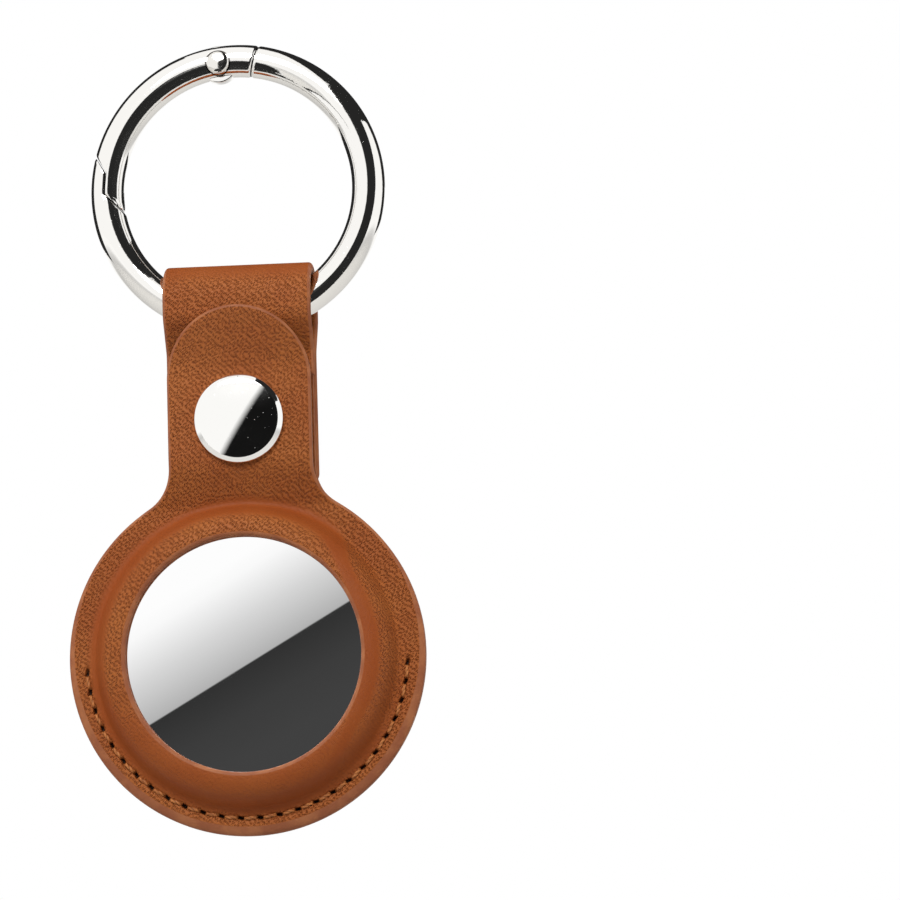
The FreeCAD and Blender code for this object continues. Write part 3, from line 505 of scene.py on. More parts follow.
# Panel as one closed grid. Columns follow the outline, rows go over the outer face from the window or middle
# to the edge, round the painted edge and back over the inner face. Height over the seam plane is the pocket's
# wall as a function of radius plus the flap's bends as a function of height, each with its own inner and
# outer line.
def leatherPanel(name, side, windowRadius, topZ, roundTip, bends=None):
    size, look = holder, pocket
    leather, arcs = size["leather"], look["arcCount"]
    curve, inward = panelOutline(topZ, roundTip)
    wall = [(windowRadius, look["height"])] + look["corners"] + [(look["out"], 0.0)]
    wallIn = roundedPath(wall, look["rounds"], arcCount=arcs)
    wallOut = besidePath(wall, look["rounds"], leather, arcCount=arcs)
    lip, inner = look["lipRound"], look["innerRound"]
    fuller = ease(curve[:, 1:], *look["edgeBlend"])
    broad = look["edgeNeck"] + (look["edgePouch"] - look["edgeNeck"]) * fuller
    rim = curve + inward * broad
    angle = np.arctan2(rim[:, 1], rim[:, 0])
    ray = np.stack([np.cos(angle), np.sin(angle)], axis=1)
    crease = ray * look["crease"]
    quarter = np.linspace(0, math.pi / 2, look["roundCount"])
    rows, drops, faces, paints = [], [], [], []
    level = np.zeros(len(curve))

    def row(points, drop, face, paint):
        rows.append(points)
        drops.append(level + drop)
        faces.append(face)
        paints.append(paint)

    # outer face, from the window's painted edge or the middle
    if windowRadius:
        for turn in quarter[:-1]:
            reach = windowRadius + lip * (1 - math.cos(turn))
            row(ray * reach, lip * (1 - math.sin(turn)), 1, math.cos(turn) ** look["lipPaint"])
        firstRadius = windowRadius + lip
    else:
        for radius in look["middleRows"]:
            row(ray * radius, 0, 1, 0)
        firstRadius = look["faceStart"]
    for radius in np.linspace(firstRadius, look["crease"], look["faceCount"], endpoint=False):
        row(ray * radius, 0, 1, 0)
    for share in np.linspace(0, 1, look["brimCount"], endpoint=False):
        row(crease * (1 - share) + rim * share, 0, 1, 0)
    lead = look["edgeCrease"]
    for turn in np.linspace(lead, math.pi / 2, look["edgeCount"]):
        out = (math.sin(turn) - math.sin(lead)) / (1 - math.sin(lead))
        down = look["edgeDepth"] * broad[:, 0] * (1 - math.cos(turn) / math.cos(lead))
        row(curve + inward * broad * (1 - out), down, 1, min(1.0, look["edgePaint"] * math.sqrt(out)))
    # inner face back to the start
    for turn in quarter[::3]:
        row(curve + inward * inner * (1 - math.cos(turn)), -inner * (1 - math.sin(turn)), 0, 1 - turn / 2)
    inRim = curve + inward * inner
    for share in np.linspace(1, 0, look["underBrim"], endpoint=False)[1:]:
        row(crease * (1 - share) + inRim * share, 0, 0, 0)
    lastRadius = windowRadius + inner if windowRadius else look["faceStart"]
    for radius in np.linspace(look["crease"], lastRadius, look["underFace"]):
        row(ray * radius, 0, 0, 0)
    if windowRadius:
        for turn in quarter[::3][1:]:
            reach = windowRadius + inner * (1 - math.sin(turn))
            row(ray * reach, -inner * (1 - math.cos(turn)), 0, math.sin(turn))
    else:
        for radius in look["underRows"]:
            row(ray * radius, 0, 0, 0)
    flat = np.stack(rows)
    drop, face = np.stack(drops), np.array(faces)[:, None]
    paint = np.repeat(np.array(paints)[:, None], len(curve), axis=1)
    x, z = flat[..., 0], flat[..., 1]
    radius = np.hypot(x, z)
    outer = np.interp(radius, wallOut[:, 0], wallOut[:, 1])
    under = np.interp(radius, wallIn[:, 0], wallIn[:, 1])
    if bends is not None:
        bendIn = roundedPath(bends["corners"], bends["rounds"], arcCount=arcs)
        bendOut = besidePath(bends["corners"], bends["rounds"], leather, arcCount=arcs)
        outer = outer + np.interp(z + size["discZ"], bendOut[:, 0], bendOut[:, 1]) - leather
        under = under + np.interp(z + size["discZ"], bendIn[:, 0], bendIn[:, 1])
    hole, groove = seamDents(x, z)
    height = np.where(face == 1, outer - drop - look["groove"] * groove - look["hole"] * hole, under - drop)
    points = np.stack([x, size["seamY"] + side * height, z + size["discZ"]], axis=-1)
    low = look["smoothLow"] * ease(-z, *look["lowDepth"]) * ease(radius, *look["lowRim"])
    right = ease(x, *look["rightX"]) * ease(z, *look["rightZ"]) if windowRadius else 0.0
    slope = ease(np.abs(radius - look["smoothWall"] + look["smoothShift"] * right), *look["smoothFade"])
    slope = np.maximum(slope, low) * (face == 1)
    # on the flat hide a point lies as far out as the wall's line is long
    run = np.concatenate([[wallOut[0, 0]], np.linalg.norm(np.diff(wallOut, axis=0), axis=1)]).cumsum()
    grown = np.interp(radius, wallOut[:, 0], run - wallOut[:, 0])
    spread = 1 + grown / np.maximum(radius, 1.0)
    hide = np.stack([x * spread, 0 * x, z * spread], axis=-1) * mm
    values = {"edgePaint": paint, "stretch": slope, "needleHole": np.where(face == 1, hole, 0), "hide": hide}
    return gridPiece(name, points, closeRows=bool(windowRadius), closeColumns=True, values=values)


flapBends = {   # (height, distance from the seam plane) of the back of the flap
    "corners": [(-60.0, 0.0), (-38.9, 0.0), (-34.112, 2.25), (-22.012, 2.25), (-13.312, 5.126)],
    "rounds": [4.0, 5.0, 9.0],
    "tipZ": -15.162,
}
frontLeather = leatherPanel("front_leather", -1, pocket["window"], flapBends["tipZ"], True, flapBends)
frontLeather.data.materials.append(leatherSkin)
backLeather = leatherPanel("back_leather", 1, 0, holder["backTopZ"], False)
backLeather.data.materials.append(leatherSkin)
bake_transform(frontLeather)
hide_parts("front_panel", "front_flap")
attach(backLeather, "pouch")
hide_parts("back_panel")
print("panels made")


# Hanger strap

strap = {
    "frontEnd": (-0.6, -23.412), "backEnd": (0.6, -36.312),
    "pinch": (0.6, -20.112), "waist": (3.5, -15.962), "top": (3.5, -10.574),
    "rounds": [2.1, 1.6, 3.5], "counts": {"runCount": 28, "arcCount": 20},
    "edgeRound": 0.5, "cornerRound": 1.2, "endRound": 0.5,
    "pinchDepth": 0.16, "pinchHalf": 0.5, "pinchPast": 0.9, "pinchFade": 0.8,
    "holeDepth": 0.5, "holeLong": 0.27, "holeWide": 0.2,
    "evenCount": 130, "seamHalf": 0.8, "seamCount": 13, "endCount": 8, "acrossCount": 104, "turnCount": 11,
    "outerFace": 0.9,                     # share of the thickness from which a point is on the outer face
    "sidePaint": (0.05, 0.3), "endPaint": (0.75, 0.2),
    "stretch": 0.8, "stretchZ": (-12.6, -10.2),
}


# Strip carried along its path: at each point of the path a flat rounded section between the inner and outer
# line, drawn in near the strap's ends; the seam pulls a groove with needle holes into the outer face
def hangerStrap():
    size, look = holder, strap
    half = [look["pinch"], look["waist"], look["top"]]
    corners = [look["frontEnd"]] + [(-y, z) for y, z in half] + half[::-1] + [look["backEnd"]]
    bends = look["rounds"] + look["rounds"][::-1]
    inner = roundedPath(corners, bends, **look["counts"])
    outer = besidePath(corners, bends, size["leather"], **look["counts"])
    length = np.concatenate([[0], np.cumsum(np.linalg.norm(np.diff(outer, axis=0), axis=1))])
    # even spacing, finer at the ends and the seam
    total = length[-1]
    seamBack = total - (size["strapSeamZ"] - look["backEnd"][1])
    seamFront = size["strapSeamZ"] - look["frontEnd"][1]
    even = np.linspace(0, total, look["evenCount"])
    fine = np.linspace(-look["seamHalf"], look["seamHalf"], look["seamCount"])
    ends = look["endRound"] * (1 - np.cos(np.linspace(0, math.pi / 2, look["endCount"])))
    low = total - np.linspace(0, look["cornerRound"], look["endCount"])
    spots = np.concatenate([even, seamBack + fine, seamFront + fine, ends, total - ends, low])
    spots = np.unique(np.round(np.clip(spots, 0, total), 4))
    innerLine = np.stack([np.interp(spots, length, inner[:, i]) for i in (0, 1)], axis=1)
    outerLine = np.stack([np.interp(spots, length, outer[:, i]) for i in (0, 1)], axis=1)
    fromEnd = np.minimum(spots, total - spots)
    # section: across the outer face, round the edge, back over the inner face, round the other edge
    width, edge, thick = size["strapHalf"], look["edgeRound"], size["leather"]
    across = np.linspace(-(width - edge), width - edge, look["acrossCount"])
    turn = np.linspace(0, math.pi, look["turnCount"])[1:-1]
    ringX = np.concatenate([across, width - edge + edge * np.sin(turn), across[::-1],
                            -(width - edge) - edge * np.sin(turn)])
    ringW = np.concatenate([np.ones_like(across), 0.5 + 0.5 * np.cos(turn), np.zeros_like(across),
                            0.5 - 0.5 * np.cos(turn)])
    end = np.clip(fromEnd / look["endRound"], 0, 1)
    thin = np.sqrt(np.clip(1 - (1 - end) ** 2, 0, 1))
    level = 0.5 + (ringW[None, :] - 0.5) * thin[:, None]
    fromLow = np.clip((total - spots) / look["cornerRound"], 0, 1)
    narrow = look["cornerRound"] * (1 - np.sqrt(np.clip(1 - (1 - fromLow) ** 2, 0, 1)))
    x = ringX[None, :] * (1 - narrow / width)[:, None]
    # groove and needle holes of the seam, in the outer face of both legs
    seam = np.minimum(np.abs(spots - seamBack), np.abs(spots - seamFront))[:, None]
    reach = size["strapStitchHalf"]
    turnX = (x + reach) / (2 * reach) * size["strapStitchCount"]
    pitch = 2 * reach / size["strapStitchCount"]
    nearest = np.clip(np.round(turnX), 0, size["strapStitchCount"])
    outerFace = ringW[None, :] > look["outerFace"]
    off = (turnX - nearest) * pitch
    hole = np.exp(-((off / look["holeLong"]) ** 4 + (seam / look["holeWide"]) ** 4)) * outerFace
    inside = ease(reach + look["pinchPast"] - np.abs(x), 0, look["pinchFade"])
    groove = np.exp(-(seam / look["pinchHalf"]) ** 2) * inside * outerFace
    level = level - (look["pinchDepth"] * groove + look["holeDepth"] * hole) / thick
    points = np.empty(x.shape + (3,))
    points[..., 0] = x
    points[..., 1:] = innerLine[:, None, :] + level[..., None] * (outerLine - innerLine)[:, None, :]
    sidePaint = ease(np.abs(ringX) - (width - edge), *look["sidePaint"])[None, :]
    edgePaint = np.broadcast_to(np.maximum(sidePaint, ease(end, *look["endPaint"])[:, None]), x.shape)
    hide = np.stack([x, 0 * x, np.broadcast_to(spots[:, None], x.shape)], axis=-1) * mm
    stretch = look["stretch"] * ease(points[..., 2], *look["stretchZ"])
    values = {"edgePaint": edgePaint, "needleHole": hole, "stretch": stretch, "hide": hide}
    return gridPiece("hanger_leather", points, closeColumns=True, values=values)


strapLeather = hangerStrap()
strapLeather.data.materials.append(leatherSkin)
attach(strapLeather, "pouch")
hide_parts("hanger_strap")
print("strap made")


# Thread

thread = {
    "radius": 0.19, "lift": 0.12, "dive": 0.5, "slant": 0.08, "twist": 7.5, "ply": 0.16, "flatten": 0.8,
    "steps": 25, "round": 14,
    "sink": 0.08, "strapSink": 0.12,                          # below the leather's face
    "front": 0.72, "back": 0.94, "strap": 0.92,               # length per pitch
    "second": 0.95, "secondTurn": 0.12, "secondOut": 0.34, "secondCount": 3,    # second pass on the back
}


# Stitches in one mesh: a tube of oval section along each stitch's arch (high in the middle, diving into the
# needle holes), whose radius swells twice round and turns along the stitch as two twisted plies do
def stitchPiece(name, middles, along, outward, lengths):
    look = thread
    side = np.cross(outward, along)
    u = np.concatenate([[-1.0], np.linspace(-1, 1, look["steps"]), [1.0]])
    full = np.ones(len(u))
    full[[0, -1]] = 0    # both ends close to a point
    phi = np.linspace(0, 2 * math.pi, look["round"], endpoint=False)
    lift = look["lift"] * (1 - u ** 4) - look["dive"] * u ** 8
    wave = np.cos(2 * phi[None, :] - look["twist"] * u[:, None])
    radius = look["radius"] * (1 + look["ply"] * wave) * full[:, None]
    out = lift[:, None] + radius * np.sin(phi)[None, :] * look["flatten"]
    wide = radius * np.cos(phi)[None, :] + look["slant"] * u[:, None]
    run = u[None, :, None] * (lengths / 2)[:, None, None] + 0 * phi
    points = (middles[:, None, None, :] + run[..., None] * along[:, None, None, :]
              + out[None, ..., None] * outward[:, None, None, :]
              + wide[None, ..., None] * side[:, None, None, :])
    one = gridFaces(len(u), len(phi), closeColumns=True)
    stride = len(u) * len(phi)
    faces = (one[None] + (np.arange(len(middles)) * stride)[:, None, None]).reshape(-1, 4)
    ply = np.broadcast_to(0.5 + 0.5 * wave, points.shape[:3])
    return meshPiece(name, points.reshape(-1, 3), faces, {"ply": ply})


# Stitches on equal angles of the pouch's seam, on the front and the back; the back has a second pass at both
# ends
def pouchStitches():
    size, look = holder, thread
    count = size["stitchCount"]
    span = 180 - 2 * size["stitchStart"]
    pitch = math.radians(span) * size["stitchRadius"] / count

    def ring(turns, radius, y, outY, length):
        angle = np.radians(180 + size["stitchStart"] + span * turns / count)
        zero = np.zeros_like(angle)
        middle = np.stack([radius * np.cos(angle), zero + y, size["discZ"] + radius * np.sin(angle)], axis=1)
        along = np.stack([-np.sin(angle), zero, np.cos(angle)], axis=1)
        return middle, along, np.stack([zero, zero + outY, zero], axis=1), zero + length

    turns = np.arange(count) + 0.5
    faceFront = size["seamY"] - size["leather"] + look["sink"]
    faceBack = size["seamY"] + size["leather"] - look["sink"]
    firstTurns = turns[:look["secondCount"]]
    again = np.concatenate([firstTurns, count - firstTurns[::-1]]) + look["secondTurn"]
    sets = [ring(turns, size["stitchRadius"], faceFront, -1, pitch * look["front"]),
            ring(turns, size["stitchRadius"], faceBack, 1, pitch * look["back"]),
            ring(again, size["stitchRadius"] + look["secondOut"], faceBack, 1, pitch * look["second"])]
    return [np.concatenate(part) for part in zip(*sets)]


# Stitches across both legs of the strap, whose outer face lies one and a half thicknesses from the middle
def strapStitches():
    size, look = holder, thread
    count, reach = size["strapStitchCount"], size["strapStitchHalf"]
    pitch = 2 * reach / count
    x = -reach + pitch * (np.arange(count) + 0.5)
    zero = np.zeros_like(x)
    sets = []
    for side in (-1, 1):
        y = side * (size["leather"] * 1.5 - look["strapSink"])
        middle = np.stack([x, zero + y, zero + size["strapSeamZ"]], axis=1)
        along = np.stack([zero + 1, zero, zero], axis=1)
        outward = np.stack([zero, zero + side, zero], axis=1)
        sets.append((middle, along, outward, zero + pitch * look["strap"]))
    return [np.concatenate(part) for part in zip(*sets)]


pouchThread = stitchPiece("pouch_thread", *pouchStitches())
strapThread = stitchPiece("strap_thread", *strapStitches())
for piece, node in ((pouchThread, "pouch_stitching"), (strapThread, "strap_stitching")):
    piece.data.materials.append(threadSkin)
    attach(piece, "pouch")
    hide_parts(node)
print("thread made")


# Snap caps

cap = {
    "radius": 5.4, "wall": 0.65, "face": 4.8, "edgeHeight": 1.08, "crown": 0.42, "metal": 0.4,
    "shoulderRound": 0.3, "faceRound": 0.12, "foot": 0.15, "innerDrop": 0.1, "innerRound": 0.1,
    "faceStep": 0.05, "underCount": 12, "overCount": 40, "frontY": -4.05, "backY": 1.8,
}


# Profile from the middle of the underside out to the wall and its foot, up the wall, in over a sloping
# shoulder, and over the crown, which is part of a sphere
def capProfile():
    look = cap
    sphere = (look["face"] ** 2 + look["crown"] ** 2) / (2 * look["crown"])

    def crown(radius, height):
        base = height + look["crown"] - sphere
        return np.stack([radius, base + np.sqrt(sphere ** 2 - radius ** 2)], axis=1)

    inside = look["radius"] - look["metal"]
    underRun = np.linspace(0, look["face"] - look["metal"], look["underCount"])
    under = crown(underRun, look["edgeHeight"] - look["metal"])
    slope = look["face"] / math.sqrt(sphere ** 2 - look["face"] ** 2)
    step = look["face"] * look["faceStep"]
    corners = [under[-1], (inside, look["wall"] - look["innerDrop"]), (inside, 0.0), (look["radius"], 0.0),
               (look["radius"], look["wall"]), (look["face"], look["edgeHeight"]),
               (look["face"] - step, look["edgeHeight"] + slope * step)]
    rounds = [look["innerRound"]] * 2 + [look["foot"], look["shoulderRound"], look["faceRound"]]
    line = roundedPath(corners, rounds, runCount=5, arcCount=10)
    over = crown(np.linspace(line[-1, 0], 0, look["overCount"])[1:], look["edgeHeight"])
    return np.concatenate([under[:-1], line, over])


for name, node, y, side, body in (("front_cap_dome", "front_cap", cap["frontY"], -1, "flap"),
                                  ("back_cap_dome", "back_cap", cap["backY"], 1, "pouch")):
    dome = turnedPiece(name, capProfile(), y, side, holder["snapZ"])
    dome.data.materials.append(capPlating)
    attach(dome, body)
    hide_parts(node)
print("caps made")


# Ring and gate

ring = {
    "radius": 16.0, "wire": 2.0,
    "pinRadius": 15.7, "pinAngle": 97.0,
    "slitReach": 4.5, "slitLean": 22.5,    # from the pin, and from the pin's radius
    "latchAngle": 175.9, "latchLength": 2.65, "latchOffset": 0.15,    # middle part of the latch's Z
    "upperSlope": 35.0, "lowerSlope": 53.0,
    "gap": 0.15, "bevel": 0.27, "bevelDepth": 0.13,
    "tangRadius": 2.3, "tangHalf": 0.75, "tangSoft": 0.2, "tangCount": 72,
    "neckEnd": 77.0, "neckTall": 1.78, "neckHalf": 0.72, "neckRound": 0.2, "neckCount": 16,
    # spacing of the wire's points, in mm where they crowd and in radians between
    "columns": 49, "column": 1.15,        # the Z's middle part runs this share of its offset out
    "beside": (0.0, 0.05, 0.11, 0.18, 0.28), "besideEnd": 0.3, "sliver": 0.02,
    "crowd": (0.0, 0.04, 0.09, 0.15, 0.23, 0.36), "crowdCount": 12, "crowdEnd": 0.06, "step": 0.03,
    "through": (0.0, 0.3, 0.5, 0.7, 1.0),
}


# Unit vector in the ring's plane at an angle from +X towards +Z
def heading(degrees):
    return np.array([math.cos(math.radians(degrees)), math.sin(math.radians(degrees))])


pinPlace = ring["pinRadius"] * heading(ring["pinAngle"])
latchMiddle = (ring["radius"] + ring["latchOffset"]) * heading(ring["latchAngle"])
latchUpper = latchMiddle + heading(ring["latchAngle"] - 90) * ring["latchLength"] / 2
latchLower = latchMiddle - heading(ring["latchAngle"] - 90) * ring["latchLength"] / 2
latchRising = heading(ring["latchAngle"] - 90 + ring["upperSlope"])
latchFalling = heading(ring["latchAngle"] + 90 + ring["lowerSlope"])
slitRun = heading(ring["pinAngle"] - ring["slitLean"])
slitMiddle = pinPlace + heading(ring["pinAngle"] - 90) * ring["slitReach"]


# Angle where a straight cut crosses a radius: the root of a quadratic in the distance along the line
def lineAngle(corner, run, radius, sign):
    ahead = corner @ run
    reach = -ahead + sign * np.sqrt(ahead ** 2 - corner @ corner + radius ** 2)
    return np.arctan2(corner[1] + reach * run[1], corner[0] + reach * run[0]) % (2 * math.pi)


# Distance in the ring's plane to the nearest of the latch's three lines and the slit, and the way off that
# line
def cutReach(x, z):
    place = np.stack([x, z], axis=-1)
    far = 9.0    # longer than any cut
    lines = [(latchUpper, latchRising, far), (latchLower, latchFalling, far),
             (latchLower, heading(ring["latchAngle"] - 90), ring["latchLength"]),
             (slitMiddle - slitRun * far / 2, slitRun, far)]
    nearest, away = np.full(x.shape, far), np.zeros(place.shape)
    for corner, run, length in lines:
        along = np.clip((place - corner) @ run, 0, length)
        step = place - corner - along[..., None] * run
        distance = np.linalg.norm(step, axis=-1)
        closer = distance < nearest
        nearest = np.where(closer, distance, nearest)
        away = np.where(closer[..., None], step / np.maximum(distance, 1e-9)[..., None], away)
    return nearest, away


# Wire from one cut to the other: points at ring angle and angle round the wire, the wire's radius drawn in by
# a parabola of the distance to the cut, with the normals that follow from it. Each end is closed by lines
# straight through from front to back.
def wireBetween(isGate):
    size = ring
    wire, gap = size["wire"], size["gap"] / 2
    sign = -1 if isGate else 1
    middle = math.acos(size["latchOffset"] / wire * size["column"])
    step = middle - sign * gap / wire
    beside = np.array(size["beside"]) / wire
    sliver = size["sliver"] / wire
    near = np.concatenate([step - sign * beside, step + sign * sliver + sign * beside])
    half = np.concatenate([np.linspace(0, math.pi, size["columns"]), near])
    half = np.unique(half[(np.abs(half - step) > size["besideEnd"] / wire) | np.isin(half, near)])
    turn = np.concatenate([half, 2 * math.pi - half[-2:0:-1]])
    level = np.minimum(turn, 2 * math.pi - turn)
    radius = size["radius"] + wire * np.cos(turn)
    outside = level < step + sign * sliver / 2
    upper = lineAngle(latchUpper, latchRising, radius, 1)
    lower = lineAngle(latchLower, latchFalling, radius, -1)
    latch = np.where(outside, upper + sign * gap / math.sin(math.radians(size["upperSlope"])) / radius,
                     lower + sign * gap / math.sin(math.radians(size["lowerSlope"])) / radius)
    slit = lineAngle(slitMiddle, slitRun, radius, 1) - sign * gap / radius
    start, end = (slit, latch) if isGate else (latch, slit + 2 * math.pi)
    # rows crowd at both cuts, and between them they share one angle
    fine = np.array(size["crowd"])[:, None] / size["radius"]
    share = np.linspace(0, 1, size["crowdCount"], endpoint=False)[1:, None]
    first, last = start.max() + size["crowdEnd"], end.min() - size["crowdEnd"]
    even = np.linspace(first, last, int((last - first) / size["step"]))[:, None] + 0 * turn
    opening = (start + fine[-1]) * (1 - share) + first * share
    closing = (end - fine[-1]) * (1 - share) + last * share
    angle = np.concatenate([start + fine, opening, even, closing[::-1], (end - fine)[::-1]])
    distance, away = cutReach(radius * np.cos(angle), radius * np.sin(angle))
    close = np.clip(1 - (distance - gap) / size["bevel"], 0, 1)
    inset = size["bevelDepth"] * close ** 2
    reach = size["radius"] + (wire - inset) * np.cos(turn)
    points = np.stack([reach * np.cos(angle), (wire - inset) * np.sin(turn), reach * np.sin(angle)], axis=-1)
    spoke = np.stack([np.cos(turn) * np.cos(angle), np.sin(turn) + 0 * angle,
                      np.cos(turn) * np.sin(angle)], axis=-1)
    off = np.stack([away[..., 0], 0 * angle, away[..., 1]], axis=-1)
    off -= np.sum(off * spoke, axis=-1, keepdims=True) * spoke
    normals = spoke - off * (2 * size["bevelDepth"] / size["bevel"] * close)[..., None]
    normals /= np.linalg.norm(normals, axis=-1, keepdims=True)
    faces = [gridFaces(*angle.shape, closeColumns=True)]
    slots = [np.zeros(len(faces[0]))]
    shells, shades = [points.reshape(-1, 3)], [normals.reshape(-1, 3)]
    back = (len(turn) - np.arange(len(half))) % len(turn)
    through = np.array(size["through"])[None, :, None]
    for row in (0, -1):
        faces.append(gridFaces(len(half), through.size) + sum(len(shell) for shell in shells))
        slots.append(np.ones(len(faces[-1])))
        for kept, whole in ((shells, points), (shades, normals)):
            closed = whole[row, :len(half)][:, None] * (1 - through) + whole[row, back][:, None] * through
            kept.append(closed.reshape(-1, 3))
    return [np.concatenate(part) for part in (shells, faces, slots, shades)]


# Round end of the tang about the pin: a disc with softened edges whose lower side shows inside the ring
def tangDisc():
    size = ring
    edge, half = size["tangRadius"], size["tangHalf"]
    corners = [(0.0, half), (edge, half), (edge, -half), (0.0, -half)]
    profile = roundedPath(corners, [size["tangSoft"]] * 2, runCount=6, arcCount=6)
    angle = np.linspace(0, 2 * math.pi, size["tangCount"], endpoint=False)[None, :]
    points = np.stack([pinPlace[0] + profile[:, :1] * np.cos(angle), profile[:, 1:] + 0 * angle,
                       pinPlace[1] + profile[:, :1] * np.sin(angle)], axis=-1)
    return points.reshape(-1, 3), gridFaces(*points.shape[:2], closeColumns=True)


# Neck of the tang, which shows when the gate is open: a bar whose section, a rectangle with rounded corners,
# is swept round the ring from inside the ring's end to the pin and shrinks to a point at both ends
def tangNeck():
    size = ring
    tall, half, soft = size["neckTall"], size["neckHalf"], size["neckRound"]
    corner = np.repeat(np.arange(4), 4) * math.pi / 2
    turn = corner + np.tile(np.linspace(0, math.pi / 2, 4), 4)
    outwards = np.sign(np.cos(corner + math.pi / 4)) * (tall - soft) + soft * np.cos(turn)
    across = np.sign(np.sin(corner + math.pi / 4)) * (half - soft) + soft * np.sin(turn)
    angle = np.radians(np.linspace(size["neckEnd"], size["pinAngle"], size["neckCount"]))
    angle = np.concatenate([angle[:1], angle, angle[-1:]])[:, None]
    full = np.ones(angle.shape)
    full[[0, -1]] = 0
    reach = size["radius"] + full * outwards
    points = np.stack([reach * np.cos(angle), full * across, reach * np.sin(angle)], axis=-1)
    return points.reshape(-1, 3), gridFaces(*points.shape[:2], closeColumns=True)


bodyPoints, bodyFaces, bodySlots, bodyNormals = wireBetween(False)
tangPoints, tangFaces = tangDisc()
neckPoints, neckFaces = tangNeck()
neckStart = len(bodyPoints) + len(tangPoints)
plainNormals = np.zeros((len(tangPoints) + len(neckPoints), 3))    # zero leaves these to their own shading
ringWire = meshPiece("ring_wire", np.concatenate([bodyPoints, tangPoints, neckPoints]),
                     np.concatenate([bodyFaces, tangFaces + len(bodyPoints), neckFaces + neckStart]),
                     slots=np.concatenate([bodySlots, np.zeros(len(tangFaces)), np.ones(len(neckFaces))]),
                     normals=np.concatenate([bodyNormals, plainNormals]))
gatePoints, gateFaces, gateSlots, gateNormals = wireBetween(True)
gateWire = meshPiece("gate_wire", gatePoints, gateFaces, slots=gateSlots, normals=gateNormals)
for piece, body, node, plating in ((ringWire, "ring", "ring_body", ringPlating),
                                   (gateWire, "gate", "ring_gate", gatePlating)):
    piece.data.materials.append(plating)
    # second slot: dark metal of the joints' end walls, painted shade there, and of the tang's neck
    piece.data.materials.append(jointShadeMetal)
    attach(piece, body)
    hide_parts(node)
print("ring made")


# Hinge pin

rivet = {
    "shank": 0.8, "under": 1.7, "head": 1.4, "rim": 2.05, "shoulder": (1.0, 2.28), "top": 2.4,
    "dimpleRim": (0.62, 2.33), "dimpleFloor": (0.45, 2.05), "dimpleMiddle": 2.0,
    "rimRound": 0.4, "shoulderRound": 0.8, "dimpleRound": 0.12, "fine": 0.05,
}


# Profile along the pin from the middle of the low front dome over its rim, down the shank and round the same
# rim behind into a dimple
def rivetProfile():
    size = rivet
    head = [size["shoulder"], (size["head"], size["rim"]), (size["head"], size["under"]),
            (size["shank"], size["under"])]
    behind = [(radius, -height) for radius, height in head[::-1] + [size["dimpleRim"], size["dimpleFloor"]]]
    corners = [(0.0, size["top"])] + head + behind + [(0.0, -size["dimpleMiddle"])]
    turns = [size["shoulderRound"], size["rimRound"], size["fine"], size["fine"]]
    return roundedPath(corners, turns + turns[::-1] + [size["dimpleRound"]] * 2, runCount=3, arcCount=6)


hingePin = turnedPiece("hinge_rivet", rivetProfile(), 0.0, -1, pinPlace[1], centreX=pinPlace[0], count=64)
hingePin.data.materials.append(pinPlating)
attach(hingePin, "gate")
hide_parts("hinge_pin")
print("pin made")


# Steel cover of the tag

cover = {
    "radius": 15.0, "face": -4.6, "edgeStart": 14.45, "edgeDrop": 0.4, "metal": 0.5,
    "skirt": 13.3, "skirtDepth": 2.0, "skirtWall": 0.5,
    "lip": (0.05, 0.35), "lipFoot": (0.2, 0.45), "fillet": (0.1, 0.1), "filletFoot": 0.2,
    "edgeLead": (0.05, 0.02), "edgeCount": 14, "flatCount": 8,
}


# Flat face, a quarter of an ellipse down to the edge, then back under the dish and round the skirt
def coverProfile():
    look = cover
    turn = np.linspace(0, math.pi / 2, look["edgeCount"])
    edge = np.stack([look["edgeStart"] + (look["radius"] - look["edgeStart"]) * np.sin(turn),
                     -look["edgeDrop"] * (1 - np.cos(turn))], axis=1)
    lip, foot, fillet = look["lip"], look["lipFoot"], look["fillet"]
    inside = look["skirt"] - look["skirtWall"]
    under = np.array([(look["radius"] - lip[0], -look["edgeDrop"] - lip[1]),
                      (look["radius"] - foot[0], -look["edgeDrop"] - foot[1]),
                      (look["skirt"] + fillet[0], -look["metal"] - fillet[1]),
                      (look["skirt"], -look["metal"] - look["filletFoot"]),
                      (look["skirt"], -look["skirtDepth"]), (inside, -look["skirtDepth"]),
                      (inside, -look["metal"]), (0.0, -look["metal"])])
    lead, lastLead = look["edgeLead"]
    flat = np.linspace(0, look["edgeStart"] - lead, look["flatCount"])
    flat = np.append(flat, look["edgeStart"] - lastLead)
    middle = np.stack([flat, np.zeros_like(flat)], axis=1)
    return np.concatenate([middle, edge, under])


coverDish = turnedPiece("cover_dish", coverProfile(), cover["face"], -1, holder["discZ"], count=220)
coverDish.data.materials.append(coverSteel)
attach(coverDish, "tag_lid")
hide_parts("tag_cover")
print("cover made")


# Finishes of the pieces that stay as they come from the frame

